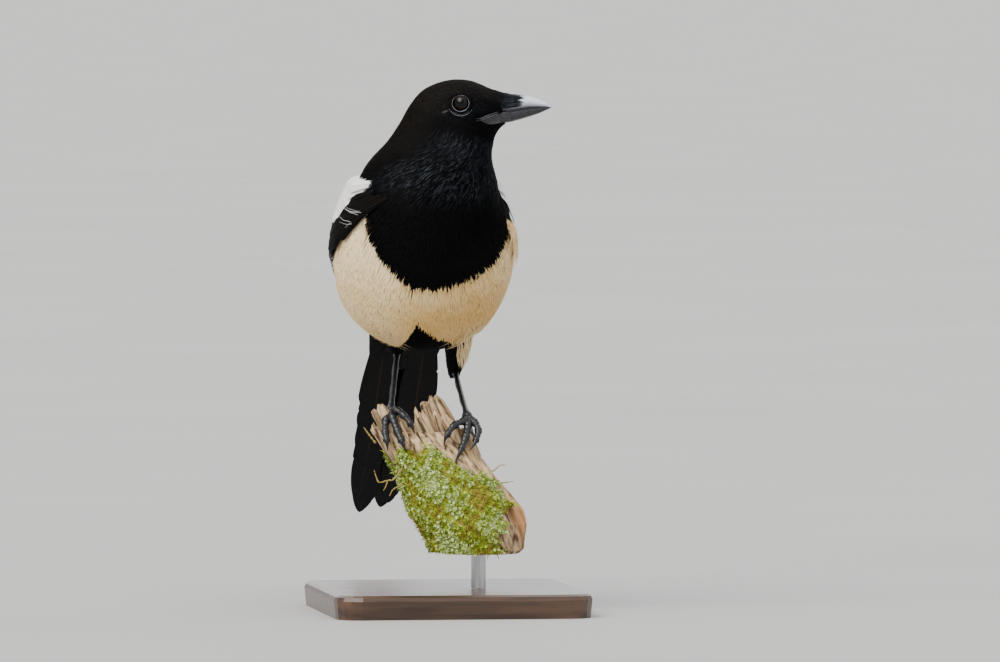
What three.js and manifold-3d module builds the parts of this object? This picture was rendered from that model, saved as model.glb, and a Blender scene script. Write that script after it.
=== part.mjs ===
// Eurasian magpie, life size, as a still museum model: it stands on the splintered end of a
// short length of branch, which a rod holds above a flat base.
// Millimetres, +Z up. The bird faces -Y with its tail towards +Y; its head is turned to its
// left, towards +X. "left" and "right" are the bird's own. The origin is the middle of the
// underside of the base.
import * as THREE from 'three';
import { mergeVertices } from 'three/addons/utils/BufferGeometryUtils.js';
import Module from 'manifold-3d';

const wasm = await Module();
wasm.setup();

// Driving dimensions
const GAP = 0.35;                 // clearance between neighbouring pieces
const VANE_THICKNESS = 0.55;      // a feather vane
const LAYER = 0.9;                // from one overlapping vane to the next
const TAIL_LENGTH = 238;          // longest rectrix
const TAIL_DROP = 34.5;           // degrees below the horizontal
const TAIL_ROOT = [0, 57, 174];
const TAIL_SWAY = 4.5;            // the tail bows this far to the left
const TARSUS_RADIUS = 1.55;
const KNUCKLE_RADIUS = 2.9;       // where the toes meet the shank
const EYE_RADIUS = 5.9;
const LID_RADIUS = 5.0;           // centre line of the lid rim
const HEAD_SHIFT = 3;             // the head lies a little to the left
const HEAD_YAW = 74;              // degrees the head is turned to the left
const BASE_SIZE = [140, 158, 13];
const BASE_CENTRE = [14, 10];     // where the base lies under the bird, in the bird's own frame
const BASE_CORNER = 14;           // radius of its corners
const ROD_RADIUS = 4;
const ROD_TOP = 32;
const ROD_PLACE = [29, -5];

// Colours
const BLACK = new THREE.MeshStandardMaterial({ color: 0x101114, roughness: 0.45 });
const GLOSS = new THREE.MeshStandardMaterial({ color: 0x14202e, roughness: 0.35 });
const CREAM = new THREE.MeshStandardMaterial({ color: 0xe9dcc0, roughness: 0.8 });
const WHITE = new THREE.MeshStandardMaterial({ color: 0xf6f5f2, roughness: 0.7 });
const HORN = new THREE.MeshStandardMaterial({ color: 0x24262b, roughness: 0.3 });
const LEG = new THREE.MeshStandardMaterial({ color: 0x1b1d22, roughness: 0.4 });
const EYE = new THREE.MeshStandardMaterial({ color: 0x0c0806, roughness: 0.05 });
const WOOD = new THREE.MeshStandardMaterial({ color: 0x9a7552, roughness: 0.85 });
const PLINTH = new THREE.MeshStandardMaterial({ color: 0x3d2a1d, roughness: 0.45 });
const STEEL = new THREE.MeshStandardMaterial({ color: 0x8e9092, roughness: 0.3, metalness: 1 });

const UP = new THREE.Vector3(0, 0, 1);
const V = (x, y, z) => new THREE.Vector3(x, y, z);
const rad = THREE.MathUtils.degToRad;
const mix = THREE.MathUtils.lerp;
const ease = (x, low, high) => THREE.MathUtils.smoothstep(x, low, high);

// Seeded random numbers, so that the small variations are the same on every run.
let seed = 20;
function random(low, high) {
  seed = (seed * 1664525 + 1013904223) % 4294967296;
  return mix(low, high, seed / 4294967296);
}

// Closed meshes and their joining
function solid(points, faces) {
  const made = new wasm.Manifold(new wasm.Mesh({
    numProp: 3,
    vertProperties: new Float32Array(points.flatMap((p) => [p.x, p.y, p.z])),
    triVerts: new Uint32Array(faces.flat()),
  }));
  if (made.volume() < 0) throw new Error('a solid is inside out');
  return made;
}

function fromGeometry(geometry) {
  const bare = geometry.clone();
  bare.deleteAttribute('normal');
  bare.deleteAttribute('uv');
  const merged = mergeVertices(bare, 1e-4);
  return new wasm.Manifold(new wasm.Mesh({
    numProp: 3,
    vertProperties: merged.attributes.position.array,
    triVerts: new Uint32Array(merged.index.array),
  }));
}

function largest(shape) {
  return shape.decompose().sort((a, b) => b.volume() - a.volume())[0];
}

function join(shapes) {
  return shapes.reduce((sum, shape) => sum.add(shape));
}

function node(name, shape, material) {
  const whole = largest(shape).getMesh();
  const geometry = new THREE.BufferGeometry();
  const position = new Float32Array(whole.numVert * 3);
  for (let i = 0; i < whole.numVert; i++) {
    position.set(whole.vertProperties.subarray(i * whole.numProp, i * whole.numProp + 3), i * 3);
  }
  geometry.setAttribute('position', new THREE.BufferAttribute(position, 3));
  geometry.setIndex(new THREE.BufferAttribute(whole.triVerts, 1));
  geometry.computeVertexNormals();
  const mesh = new THREE.Mesh(geometry, material);
  mesh.name = name;
  return mesh;
}

// A closed skin over rings of equal count, each running the same way round, with a flat end.
function loft(rings) {
  const count = rings[0].length;
  const points = rings.flat();
  const faces = [];
  rings.slice(1).forEach((_, row) => {
    for (let k = 0; k < count; k++) {
      const a = row * count + k;
      const b = row * count + ((k + 1) % count);
      faces.push([a, b, b + count], [a, b + count, a + count]);
    }
  });
  [0, rings.length - 1].forEach((row) => {
    const middle = points.length;
    points.push(rings[row].reduce((sum, p) => sum.add(p), V(0, 0, 0)).divideScalar(count));
    for (let k = 0; k < count; k++) {
      const a = row * count + k;
      const b = row * count + ((k + 1) % count);
      faces.push(row ? [a, b, middle] : [b, a, middle]);
    }
  });
  return outward(points, faces);
}

// The same solid with its faces turned outwards.
function outward(points, faces) {
  const volume = faces.reduce((sum, [a, b, c]) => (
    sum + points[a].dot(points[b].clone().cross(points[c]))), 0);
  return solid(points, volume < 0 ? faces.map(([a, b, c]) => [a, c, b]) : faces);
}

// A thin plate over a grid of points with normals; both faces are split into triangles alike.
function plate(grid, thickness = VANE_THICKNESS) {
  const rows = grid.length;
  const columns = grid[0].length;
  const points = [];
  [0.5, -0.5].forEach((share) => grid.flat().forEach(({ at, normal }) => {
    points.push(at.clone().addScaledVector(normal, share * thickness));
  }));
  const under = rows * columns;
  const faces = [];
  for (let i = 0; i < rows - 1; i++) {
    for (let j = 0; j < columns - 1; j++) {
      const a = i * columns + j;
      const quad = [a, a + 1, a + 1 + columns, a + columns];
      faces.push([quad[0], quad[1], quad[2]], [quad[0], quad[2], quad[3]]);
      faces.push([quad[0] + under, quad[2] + under, quad[1] + under]);
      faces.push([quad[0] + under, quad[3] + under, quad[2] + under]);
    }
  }
  const rim = [];
  for (let j = 0; j < columns - 1; j++) rim.push([j, j + 1]);
  for (let i = 0; i < rows - 1; i++) rim.push([(i + 1) * columns - 1, (i + 2) * columns - 1]);
  for (let j = columns - 1; j > 0; j--) rim.push([(rows - 1) * columns + j, (rows - 1) * columns + j - 1]);
  for (let i = rows - 1; i > 0; i--) rim.push([i * columns, (i - 1) * columns]);
  rim.forEach(([a, b]) => faces.push([a, a + under, b + under], [a, b + under, b]));
  return outward(points, faces);
}

// A feather: a vane along path(share), its flat side facing facing(share). It is narrow at the
// root, widest at belly and rounded at the tip. tilt raises its left edge over its right one,
// so that neighbours lie like shingles.
function feather({ path, facing, width, rows = 6, tilt = 0, belly = 0.6, root = 0.4 }) {
  const grid = [];
  for (let i = 0; i <= rows; i++) {
    const share = 1 - (1 - i / rows) ** 1.5;
    const at = path(share);
    const along = path(Math.min(1, share + 0.02)).sub(path(Math.max(0, share - 0.02))).normalize();
    const across = along.clone().cross(facing(share)).normalize();
    const normal = across.clone().cross(along).normalize();
    const end = Math.max(0, (share - belly) / (1 - belly));
    const swell = share < belly ? mix(root, 1, ease(share, 0, belly)) : Math.sqrt(1.04 - end ** 3);
    const half = (width / 2) * swell;
    grid.push([-1, 1].map((side) => ({
      at: at.clone().addScaledVector(across, side * half)
        .addScaledVector(normal, -side * half * tilt),
      normal,
    })));
  }
  return plate(grid);
}

// A tube of changing radius along points; radius is a function of the share of its length.
function tube(points, radius, sides, rings) {
  return sweep(new THREE.CatmullRomCurve3(points), radius, sides, rings);
}

function sweep(curve, radius, sides, rings) {
  const made = [];
  for (let i = 0; i <= rings; i++) {
    const share = i / rings;
    const at = curve.getPoint(share);
    const along = curve.getTangent(share);
    const across = along.clone().cross(Math.abs(along.z) > 0.9 ? V(0, 1, 0) : UP).normalize();
    const upward = across.clone().cross(along).normalize();
    const ring = [];
    for (let k = 0; k < sides; k++) {
      const angle = (2 * Math.PI * k) / sides;
      ring.push(at.clone().addScaledVector(across, radius(share) * Math.cos(angle))
        .addScaledVector(upward, radius(share) * Math.sin(angle)));
    }
    made.push(ring);
  }
  return loft(made);
}

function ball(radius, at, stretch = [1, 1, 1], detail = [16, 10]) {
  const geometry = new THREE.SphereGeometry(radius, ...detail);
  geometry.scale(...stretch);
  geometry.translate(at.x, at.y, at.z);
  return fromGeometry(geometry);
}

// Body form: stations along the bird from the tail to the base of the bill. Each is an oval
// that spans the profile from its under point to its over point. Both are [forward, height] in
// the upright plane through the turning axis of the neck; yaw turns that plane, in degrees.
const NECK_AXIS = [0, -12];
const FORM = [
  { under: [-155, 106], over: [-164, 119], yaw: 0, side: 16 },                // over the tail
  { under: [-106, 140], over: [-115, 153.5], yaw: 0, side: 19.5 },
  { under: [-68, 161], over: [-77, 178.5], yaw: 0, side: 19 },                // tail root
  { under: [-50, 152], over: [-68, 187], yaw: 0, side: 29 },
  { under: [-30, 145], over: [-60, 195.5], yaw: 0, side: 36 },                // rump and vent
  { under: [-12, 141.5], over: [-53, 206], yaw: 0, side: 43.5 },
  { under: [4, 147.5], over: [-47.5, 216], yaw: 0, side: 47 },                // belly
  { under: [18, 159.5], over: [-43, 225], yaw: 0, side: 48.5 },
  { under: [29, 176], over: [-38.5, 232], yaw: 0, side: 47 },
  { under: [35.5, 193.5], over: [-35, 238], yaw: 2, side: 43 },               // breast
  { under: [38, 210], over: [-32, 243], yaw: 8, side: 38.5 },
  { under: [37, 225], over: [-29.5, 246.5], yaw: 24, side: 35.5 },            // shoulders
  { under: [33.5, 238], over: [-26.5, 250.5], yaw: 46, side: 31.5 },
  { under: [32, 248], over: [-22.5, 256.5], yaw: 66, side: 25.5 },                // neck
  { under: [33, 255.5], over: [-17, 265.5], yaw: HEAD_YAW, side: 21.5 },
  { under: [34.5, 259.3], over: [-11.5, 275], yaw: HEAD_YAW, side: 19 },
  { under: [36, 261.5], over: [-4, 283], yaw: HEAD_YAW, side: 17.8 },
  { under: [37.5, 263], over: [8, 287.6], yaw: HEAD_YAW, side: 17.2 },        // crown
  { under: [38.5, 263.8], over: [20, 287.6], yaw: HEAD_YAW, side: 15.8 },
  { under: [39.3, 264.2], over: [31, 283.4], yaw: HEAD_YAW, side: 12.5 },     // brow
  { under: [40, 264.5], over: [38.5, 281], yaw: HEAD_YAW, side: 7.8 },        // base of the bill
];
const TAIL_STATION = 2;
const NECK_START = 11.2;
const HEAD_START = 14.6;
const ROUND_BACK = 2.15;          // 2 is an ellipse; more is fuller
const ROUND_BELLY = 1.85;
const RING = 26;

const FIELDS = FORM.map((s) => [...s.under, ...s.over, s.yaw, s.side]);
const lastStation = FORM.length - 1;

function facingOf(yaw) {
  return V(Math.sin(rad(yaw)), -Math.cos(rad(yaw)), 0);
}

// A place given forward of the neck's axis, sideways to the left, and by its height.
function turned(yaw, forward, height, leftward = 0) {
  return V(...NECK_AXIS, height)
    .addScaledVector(facingOf(yaw), forward)
    .addScaledVector(UP.clone().cross(facingOf(yaw)), leftward);
}

const onHead = (forward, height, leftward) => turned(HEAD_YAW, forward, height, leftward)
  .add(V(HEAD_SHIFT, 0, 0));

// The form at any place between two stations, by a Catmull-Rom spline through all of them.
function form(place) {
  const i = Math.min(lastStation - 1, Math.max(0, Math.floor(place)));
  const f = place - i;
  const [a, b, c, d] = [-1, 0, 1, 2].map(
    (k) => FIELDS[Math.min(lastStation, Math.max(0, i + k))]);
  const [u0, z0, u1, z1, yaw, side] = b.map((_, n) => 0.5 * (
    2 * b[n] + (c[n] - a[n]) * f + (2 * a[n] - 5 * b[n] + 4 * c[n] - d[n]) * f * f
    + (3 * b[n] - a[n] - 3 * c[n] + d[n]) * f ** 3));
  const shift = V(HEAD_SHIFT * ease(place, 9, 14) + TAIL_SWAY * (1 - ease(place, 0.6, 2.4)), 0, 0);
  const under = turned(yaw, u0, z0).add(shift);
  const over = turned(yaw, u1, z1).add(shift);
  const down = under.clone().sub(over).normalize();
  const left = UP.clone().cross(facingOf(yaw));
  return {
    at: under.clone().add(over).multiplyScalar(0.5),
    half: under.distanceTo(over) / 2,
    side,
    down,
    left,
    along: down.clone().cross(left),
  };
}

// A point on the body: angle 0 is the middle of the back, 90 the bird's left, 180 the belly.
function skin(place, angle, lift = 0) {
  const s = form(place);
  const x = Math.sin(rad(angle));
  const y = Math.cos(rad(angle));
  const trunk = 1 - ease(place, 9, 12);
  const round = y > 0 ? ROUND_BACK : mix(ROUND_BACK, ROUND_BELLY, trunk);
  const bend = (v) => Math.sign(v) * Math.abs(v) ** (2 / round);
  return s.at.clone()
    .addScaledVector(s.left, bend(x) * (s.side + lift))
    .addScaledVector(s.down, -bend(y) * (s.half + lift));
}

function skinNormal(place, angle) {
  const a = skin(place, angle + 2).sub(skin(place, angle - 2));
  const b = skin(place + 0.04, angle).sub(skin(place - 0.04, angle));
  const out = a.cross(b).normalize();
  const s = form(place);
  return out.dot(skin(place, angle).sub(s.at)) < 0 ? out.negate() : out;
}

// The trunk, neck and head in one
function bodySolid(lift = 0) {
  const rings = [];
  for (let place = TAIL_STATION; place < lastStation + 0.001; place += 0.5) {
    const ring = [];
    for (let k = 0; k < RING; k++) ring.push(skin(place, (360 * k) / RING, lift));
    rings.push(ring);
  }
  return loft(rings);
}

// Cuts a shape in two along a plane through a point, with the gap between the two sides.
function cut(shape, at, normal) {
  const n = normal.clone().normalize();
  const offset = n.dot(at);
  return [
    shape.trimByPlane([n.x, n.y, n.z], offset + GAP / 2),
    shape.trimByPlane([-n.x, -n.y, -n.z], -offset + GAP / 2),
  ];
}

const bodyWhole = bodySolid();
const bodyGrown = bodySolid(GAP);
const [headWhole, belowHead] = cut(bodyWhole, form(HEAD_START).at, form(HEAD_START).along);
const [neck, torso] = cut(belowHead, form(NECK_START).at, form(NECK_START).along);

// Head: eyes in their sockets, a lid round each, and the mouth line back to below the eye.
const EYE_PLACE = [18, 275.6];  // forward and height
const EYE_DEPTH = 13.2;           // its centre, sideways from the middle of the head
const LID_DEPTH = 17;
const LID_THICKNESS = 0.95;
const LID_OVAL = 0.94;            // the opening is a little wider than high
const SIDES = { right: -1, left: 1 };

function ring(radius, thick, at, normal, detail, oval) {
  const geometry = new THREE.TorusGeometry(radius, thick, ...detail);
  geometry.scale(1, oval, 1);
  geometry.applyQuaternion(new THREE.Quaternion().setFromUnitVectors(V(0, 0, 1), normal));
  geometry.translate(at.x, at.y, at.z);
  return fromGeometry(geometry);
}

function eyeCentre(side) {
  return onHead(...EYE_PLACE, side * EYE_DEPTH);
}

// Forward and height along the line where the two halves of the bill meet
const MOUTH = [
  [25.5, 267.2], [31, 268.2], [37, 270.2], [44, 271.6], [52, 273], [62, 273.6], [70, 273.4],
];
const MOUTH_CUT = 0.5;
const MOUTH_DEPTH = 1.3;          // of the mouth line on the cheek
const HEAD_REACH = 22;            // further sideways than any part of the head

// A thin wavy sheet that follows the mouth line through the whole width of the head.
function mouthSheet(thickness, from, to, steps) {
  const curve = new THREE.CatmullRomCurve3(MOUTH.map(([u, z]) => V(u, 0, z)));
  const grid = [];
  for (let i = 0; i <= steps; i++) {
    const p = curve.getPoint(mix(from, to, i / steps));
    const t = curve.getTangent(mix(from, to, i / steps));
    const normal = onHead(-t.z, t.x, 0).sub(onHead(0, 0, 0)).normalize();
    grid.push([-HEAD_REACH, HEAD_REACH].map((side) => ({ at: onHead(p.x, p.z, side), normal })));
  }
  return plate(grid, thickness);
}

function makeHead() {
  const core = bodySolid(-MOUTH_DEPTH);
  let head = headWhole.subtract(mouthSheet(MOUTH_CUT, 0, 0.38, 3).subtract(core));
  Object.values(SIDES).forEach((side) => {
    const out = onHead(0, 0, side).sub(onHead(0, 0, 0));
    const lid = ring(LID_RADIUS, LID_THICKNESS, onHead(...EYE_PLACE, side * LID_DEPTH), out,
      [5, 14], LID_OVAL);
    head = head.add(lid).subtract(ball(EYE_RADIUS + GAP, eyeCentre(side), [1, 1, 1], [14, 8]));
  });
  return head;
}

// Bill: horn from the base of the forehead feathers, split along the mouth line
const BILL = [
  // forward, top, bottom, half width
  [39.2, 280.6, 264.9, 6.9],
  [43, 280, 265.5, 6.3],
  [48, 279.6, 266.9, 5.4],
  [53, 278.9, 268.4, 4.5],
  [58, 277.4, 270.1, 3.4],
  [62, 275.6, 271.9, 2.2],
  [64, 274.4, 272.9, 1.1],
];

const NOSTRIL = [43.5, 275.6];    // forward and height
const NOSTRIL_DEPTH = 6.4;

function makeBill() {
  const rings = BILL.map(([u, top, bottom, half]) => {
    const points = [];
    for (let k = 0; k < 16; k++) {
      const angle = (2 * Math.PI * (k + 0.5)) / 16;
      const lift = Math.cos(angle) > 0 ? 1.15 : 1;
      points.push(onHead(u, mix(bottom, top, 0.5 + Math.cos(angle) / 2),
        half * Math.sign(Math.sin(angle)) * Math.abs(Math.sin(angle)) ** (1 / lift)));
    }
    return points;
  });
  const front = form(lastStation);
  const whole = loft(rings).trimByPlane(front.along.toArray(), front.along.dot(front.at) + GAP);
  const [upper, lower] = whole.subtract(mouthSheet(GAP, 0.15, 1, 7)).decompose()
    .sort((a, b) => b.boundingBox().max[2] - a.boundingBox().max[2]);
  const nostrils = Object.values(SIDES).map((side) => (
    ball(1, onHead(...NOSTRIL, side * NOSTRIL_DEPTH), [1.7, 1.2, 0.8], [8, 6])));
  return { upper: nostrils.reduce((sum, hole) => sum.subtract(hole), upper), lower };
}

// Tail: frame along the feathers from the root
const tailAlong = V(0, Math.cos(rad(TAIL_DROP)), -Math.sin(rad(TAIL_DROP)));
const tailUp = V(0, Math.sin(rad(TAIL_DROP)), Math.cos(rad(TAIL_DROP)));

function onTail(along, across, height) {
  const sway = TAIL_SWAY * Math.sin(Math.PI * Math.min(1, along / 300));
  return V(...TAIL_ROOT).addScaledVector(tailAlong, along).add(V(across + sway, 0, 0))
    .addScaledVector(tailUp, height);
}

// The flat block in which the roots of a tier are joined.
function rootBlock(from, to, half, low, high) {
  const grid = [from, to].map((along) => [-half, half].map((across) => ({
    at: onTail(along, across, (low + high) / 2), normal: tailUp })));
  return plate(grid, high - low);
}

// Six pairs of rectrices, the middle pair longest and uppermost
const RECTRICES = [
  // length, offset of the shaft from the middle, width
  [TAIL_LENGTH, 5.5, 19],
  [TAIL_LENGTH * 0.95, 8.7, 16.6],
  [TAIL_LENGTH * 0.865, 9.3, 17.6],
  [TAIL_LENGTH * 0.765, 9.9, 18.8],
  [TAIL_LENGTH * 0.655, 10.5, 20],
  [TAIL_LENGTH * 0.535, 11.1, 21.2],
];
const TAIL_START = 2;             // the roots run up to the end of the trunk
const TAIL_TOP = 2.9;

function makeTail() {
  const vanes = [rootBlock(TAIL_START, 24, 10, -2.6, TAIL_TOP)];
  RECTRICES.forEach(([length, offset, width], pair) => {
    [-1, 1].forEach((side) => {
      const uppermost = pair === 0 && side < 0;
      const height = TAIL_TOP - GAP - LAYER * (uppermost ? 0 : pair + 1);
      const reach = length * (1 + random(-0.012, 0.012));
      const rise = LAYER * 0.2 * pair;
      vanes.push(feather({
        path: (t) => onTail(
          mix(TAIL_START + 2, reach, t),
          side * offset * mix(0.5, 1, ease(t, 0, 0.35)),
          height + rise * (1 - ease(t, 0, 0.2))),
        facing: () => tailUp,
        width,
        rows: 6,
        belly: 0.5,
      }));
    });
  });
  return join(vanes);
}

// Coverts over and under the root of the tail
const OVER_TAIL = { count: 4, spread: 8, length: 58, low: 3.4, high: 7.2, width: 12, tilt: 0.35 };
const UNDER_TAIL = { count: 4, spread: 10, length: 78, low: -9.5, high: -3.2, width: 12, tilt: -0.35 };

function tailCoverts({ count, spread, length, low, high, width, tilt }) {
  const [near, far] = high > 0 ? [low + 0.5, high - 0.7] : [high - 0.5, low + 0.7];
  const vanes = [rootBlock(TAIL_START, TAIL_START + 14, spread, low, high)];
  for (let k = 0; k < count; k++) {
    const share = (k / (count - 1)) * 2 - 1;
    const reach = length * (1 - 0.35 * share * share) + random(-3, 3);
    vanes.push(feather({
      path: (t) => onTail(mix(TAIL_START + 3, reach, t), share * spread * mix(0.8, 1.15, t),
        mix(far, near, t) + tilt * (1 + share)),
      facing: () => tailUp,
      width,
      rows: 4,
      belly: 0.4,
      tilt: tilt * 0.06,
    }));
  }
  return join(vanes);
}

// Wing: the folded wing lies over the side of the body and runs on above the tail.
// Its upper and lower edge are angles from the middle of the back, by place.
const WING_EDGE = [
  // place, upper, lower
  [-0.1, 36, 52],
  [1, 26, 66],
  [2.2, 21, 72],
  [3, 19, 74],
  [4, 18, 76],
  [6, 25, 80],
  [8, 42, 96],
  [9.4, 58, 109],
  [10.8, 83, 122],
];
const WRIST_PLACE = 10.2;
const WING_LENGTH = 188;          // wrist to the tip of the longest primary

function wingEdge(place, share) {
  const i = Math.max(0, WING_EDGE.findIndex((row) => row[0] > place) - 1);
  const [p0, u0, l0] = WING_EDGE[i];
  const [p1, u1, l1] = WING_EDGE[i + 1];
  const f = (place - p0) / (p1 - p0);
  return mix(mix(u0, u1, f), mix(l0, l1, f), share);
}

// Places along the body at every half millimetre from the wrist back along the side.
const WING_PLACES = [WRIST_PLACE];
for (let place = WRIST_PLACE; place > 0;) {
  const here = form(place).at;
  const ahead = form(place - 0.01).at;
  place -= (0.01 * 0.5) / here.distanceTo(ahead);
  WING_PLACES.push(place);
}
const placeAt = (millimetres) => (
  WING_PLACES[Math.min(WING_PLACES.length - 1, Math.max(0, Math.round(millimetres * 2)))]);

// A vane of the wing, from its root to its tip. Each end is [distance from the wrist, share of
// the way from the upper to the lower edge, lift over the body].
function wingFeather(side, root, tip, width, rows, tilt) {
  const angleAt = (t) => side * wingEdge(placeAt(mix(root[0], tip[0], t)),
    mix(root[1], tip[1], ease(t, -0.3, 1.1)));
  return feather({
    path: (t) => skin(placeAt(mix(root[0], tip[0], t)), angleAt(t),
      mix(root[2], tip[2], ease(t, 0, 0.6))),
    facing: (t) => skinNormal(placeAt(mix(root[0], tip[0], t)), angleAt(t)),
    width, rows, tilt: -side * tilt,
  });
}

// The fleshy forearm and hand, in which every vane of the wing is rooted.
function wingCore(side) {
  const grid = [];
  for (let i = 0; i <= 6; i++) {
    const place = placeAt(mix(0, 52, i / 6));
    const inset = 0.06 + 0.08 * (i / 6 - 0.5) ** 2;
    grid.push([0, 0.25, 0.5, 0.75, 1].map((share) => {
      const angle = side * wingEdge(place, mix(inset, 1 - inset, share));
      return { at: skin(place, angle, 1.7), normal: skinNormal(place, angle) };
    }));
  }
  return plate(grid, 2);
}

// Tiers from the body outwards. first and last are the uppermost and the lowest vane's [root
// distance, tip distance, share, lift at the tip]; the shares run from the upper to the lower edge.
const WING_TIERS = {
  primaries: { count: 4, first: [48, 152, 0.7, 2.7], last: [40, WING_LENGTH, 0.95, 0.9],
    aim: 0.75, root: 1.5, width: 10.5, rows: 4, tilt: 0.1 },
  secondaries: { count: 5, first: [42, 106, 0.14, 1.7], last: [42, 140, 0.74, 3.1],
    aim: 0.95, root: 1.7, width: 14.5, rows: 4, tilt: 0.12 },
  greaterCoverts: { count: 5, first: [30, 62, 0.14, 2.9], last: [30, 68, 0.9, 2.9],
    aim: 1, root: 2.2, width: 15.5, rows: 3, tilt: 0.1 },
  medianCoverts: { count: 4, first: [12, 40, 0.18, 3.4], last: [8, 40, 0.86, 3.4],
    aim: 1, root: 2.2, width: 17, rows: 3, tilt: 0.08 },
};

function makeWing(side) {
  const shapes = [wingCore(side)];
  Object.values(WING_TIERS).forEach(({ count, first, last, aim, root, width, rows, tilt }) => {
    for (let k = 0; k < count; k++) {
      const [start, end, share, lift] = first.map((value, n) => mix(value, last[n], k / (count - 1)));
      const reach = Math.min(WING_LENGTH, end + random(-2, 2));
      shapes.push(wingFeather(side, [start, share, root], [reach, mix(0.5, share, aim), lift],
        width, rows, tilt));
    }
  });
  return join(shapes);
}

// The space under the scapulars, which lie over the upper edge of the wing.
function wingSleeve(side) {
  const grid = [];
  for (let i = 0; i <= 8; i++) {
    const place = i === 0 ? WRIST_PLACE + 0.45 : placeAt(mix(-15, 120, i / 8));
    grid.push([-0.25, 0.1, 0.4, 0.7, 1.1].map((share) => {
      const angle = side * wingEdge(place, share);
      return { at: skin(place, angle, 2.35), normal: skinNormal(place, angle) };
    }));
  }
  return plate(grid, 5.1);
}

// Scapulars: white feathers of the shoulder
const SCAPULARS = { count: 4, root: [11.1, 9.9], tip: [7.7, 5.4], angle: [82, 34], width: 18 };

function makeScapulars(side) {
  const { count, root, tip, angle, width } = SCAPULARS;
  const shapes = [];
  const core = [0, 0.5, 1].map((t) => [0, 0.5, 1].map((u) => {
    const place = mix(mix(root[0], root[1], u), mix(root[0], root[1], u) - 1.1, t);
    const around = side * mix(angle[0], angle[1], u);
    return { at: skin(place, around, 2.2), normal: skinNormal(place, around) };
  }));
  shapes.push(plate(core, 3));
  for (let k = 0; k < count; k++) {
    const u = k / (count - 1);
    const from = mix(root[0], root[1], u) - 0.2;
    const to = mix(tip[0], tip[1], u) + random(-0.15, 0.15);
    const turn = (t) => side * mix(angle[0], angle[1], u) * mix(1, 0.8, t);
    shapes.push(feather({
      path: (t) => skin(mix(from, to, t), turn(t), mix(3, 5.7, ease(t, 0, 0.3))),
      facing: (t) => skinNormal(mix(from, to, t), turn(t)),
      width, rows: 4, tilt: -side * 0.06,
    }));
  }
  return join(shapes).subtract(wingSleeve(side));
}

// Legs: points in the bird's frame
const LEGS = {
  right: {
    hip: [-19, 14, 166],
    ankle: [-10.4, 31, 141],
    foot: [-18.3, -2, 109.6],
    toes: {
      outer: [[-21.8, -8, 104.3], [-22.9, -13.5, 98], [-22.6, -17, 93.6], [-21.8, -16.5, 88]],
      middle: [[-18.3, -9, 105.6], [-16.4, -15, 98.6], [-14.8, -19.5, 93.6], [-11.6, -19, 86.8]],
      inner: [[-15.4, -7, 109.3], [-12.6, -12, 107], [-9.2, -15.5, 102.4], [-7.4, -16.5, 97.2]],
      hind: [[-17.6, 5, 104.5], [-16.6, 10.5, 100], [-16, 13, 95.5], [-15.6, 11.5, 89]],
    },
  },
  left: {
    hip: [21, 12, 164],
    ankle: [21.2, 34, 130],
    foot: [22.9, -4, 106.4],
    toes: {
      outer: [[26.2, -9, 103], [27.8, -13, 98.6], [25.8, -17, 93.3], [22, -18.5, 88.2]],
      middle: [[22.6, -9.5, 101.8], [20.6, -15, 95.2], [17.6, -19.5, 89], [14, -20.5, 81.5]],
      inner: [[20.4, -9, 103.8], [14.6, -13.5, 101.6], [10.2, -17, 96.6], [8.6, -17, 91]],
      hind: [[24.6, 3, 101], [26.4, 8.5, 95.5], [26.6, 10.5, 90.5], [25.4, 9, 84.5]],
    },
  },
};
const CLAW_GAP = 0.5;
const TOE_RADIUS = { outer: 2.05, middle: 2.2, inner: 2.0, hind: 2.15 };

function toeCurve(leg, toe) {
  return [leg.foot, ...leg.toes[toe]].map((p) => V(...p));
}

// The toe without its claw; a pad swells under each joint.
function makeToe(leg, toe, lift = 0) {
  const points = toeCurve(leg, toe).slice(0, 4);
  const pads = points.length - 1;
  return tube(points, (t) => (
    TOE_RADIUS[toe] * (1.05 - 0.2 * t) * (1 + 0.1 * Math.cos(2 * Math.PI * pads * t)) + lift), 6, 8);
}

// A claw goes on in the line of its toe and bends down to the tip.
function makeClaw(leg, toe, lift = 0) {
  const [before, base, tip] = toeCurve(leg, toe).slice(2);
  const along = base.clone().sub(before).normalize();
  const start = base.clone().addScaledVector(along, CLAW_GAP);
  const bend = start.clone().addScaledVector(along, 0.42 * start.distanceTo(tip));
  const end = tip.clone().addScaledVector(tip.clone().sub(bend).normalize(), lift);
  const curve = new THREE.QuadraticBezierCurve3(start, bend, end);
  return sweep(curve, (t) => mix(TOE_RADIUS[toe] * 0.68, 0.3, t ** 0.9) + lift, 6, 4);
}

function makeFoot(leg) {
  const toes = Object.keys(leg.toes).map((toe) => makeToe(leg, toe));
  return join([ball(KNUCKLE_RADIUS, V(...leg.foot), [1, 1.1, 1], [10, 7]), ...toes]);
}

function makeTarsus(leg, lift = 0) {
  const points = [leg.ankle, leg.foot].map((p) => V(...p));
  const middle = points[0].clone().lerp(points[1], 0.5).add(V(0, 0.6, -0.4));
  return tube([points[0], middle, points[1]], (t) => (
    mix(2.3, TARSUS_RADIUS, ease(t, 0, 0.18)) + 0.55 * ease(t, 0.8, 1) + lift), 8, 8);
}

function makeThigh(leg) {
  const points = [leg.hip, leg.ankle].map((p) => V(...p));
  const middle = points[0].clone().lerp(points[1], 0.55).add(V(0, -1.5, 0));
  const along = points[1].clone().sub(middle).normalize();
  const end = points[1].clone().addScaledVector(along, 1.5);
  return tube([points[0], middle, end], (t) => mix(11, 3.4, t ** 0.8), 10, 5);
}

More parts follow.
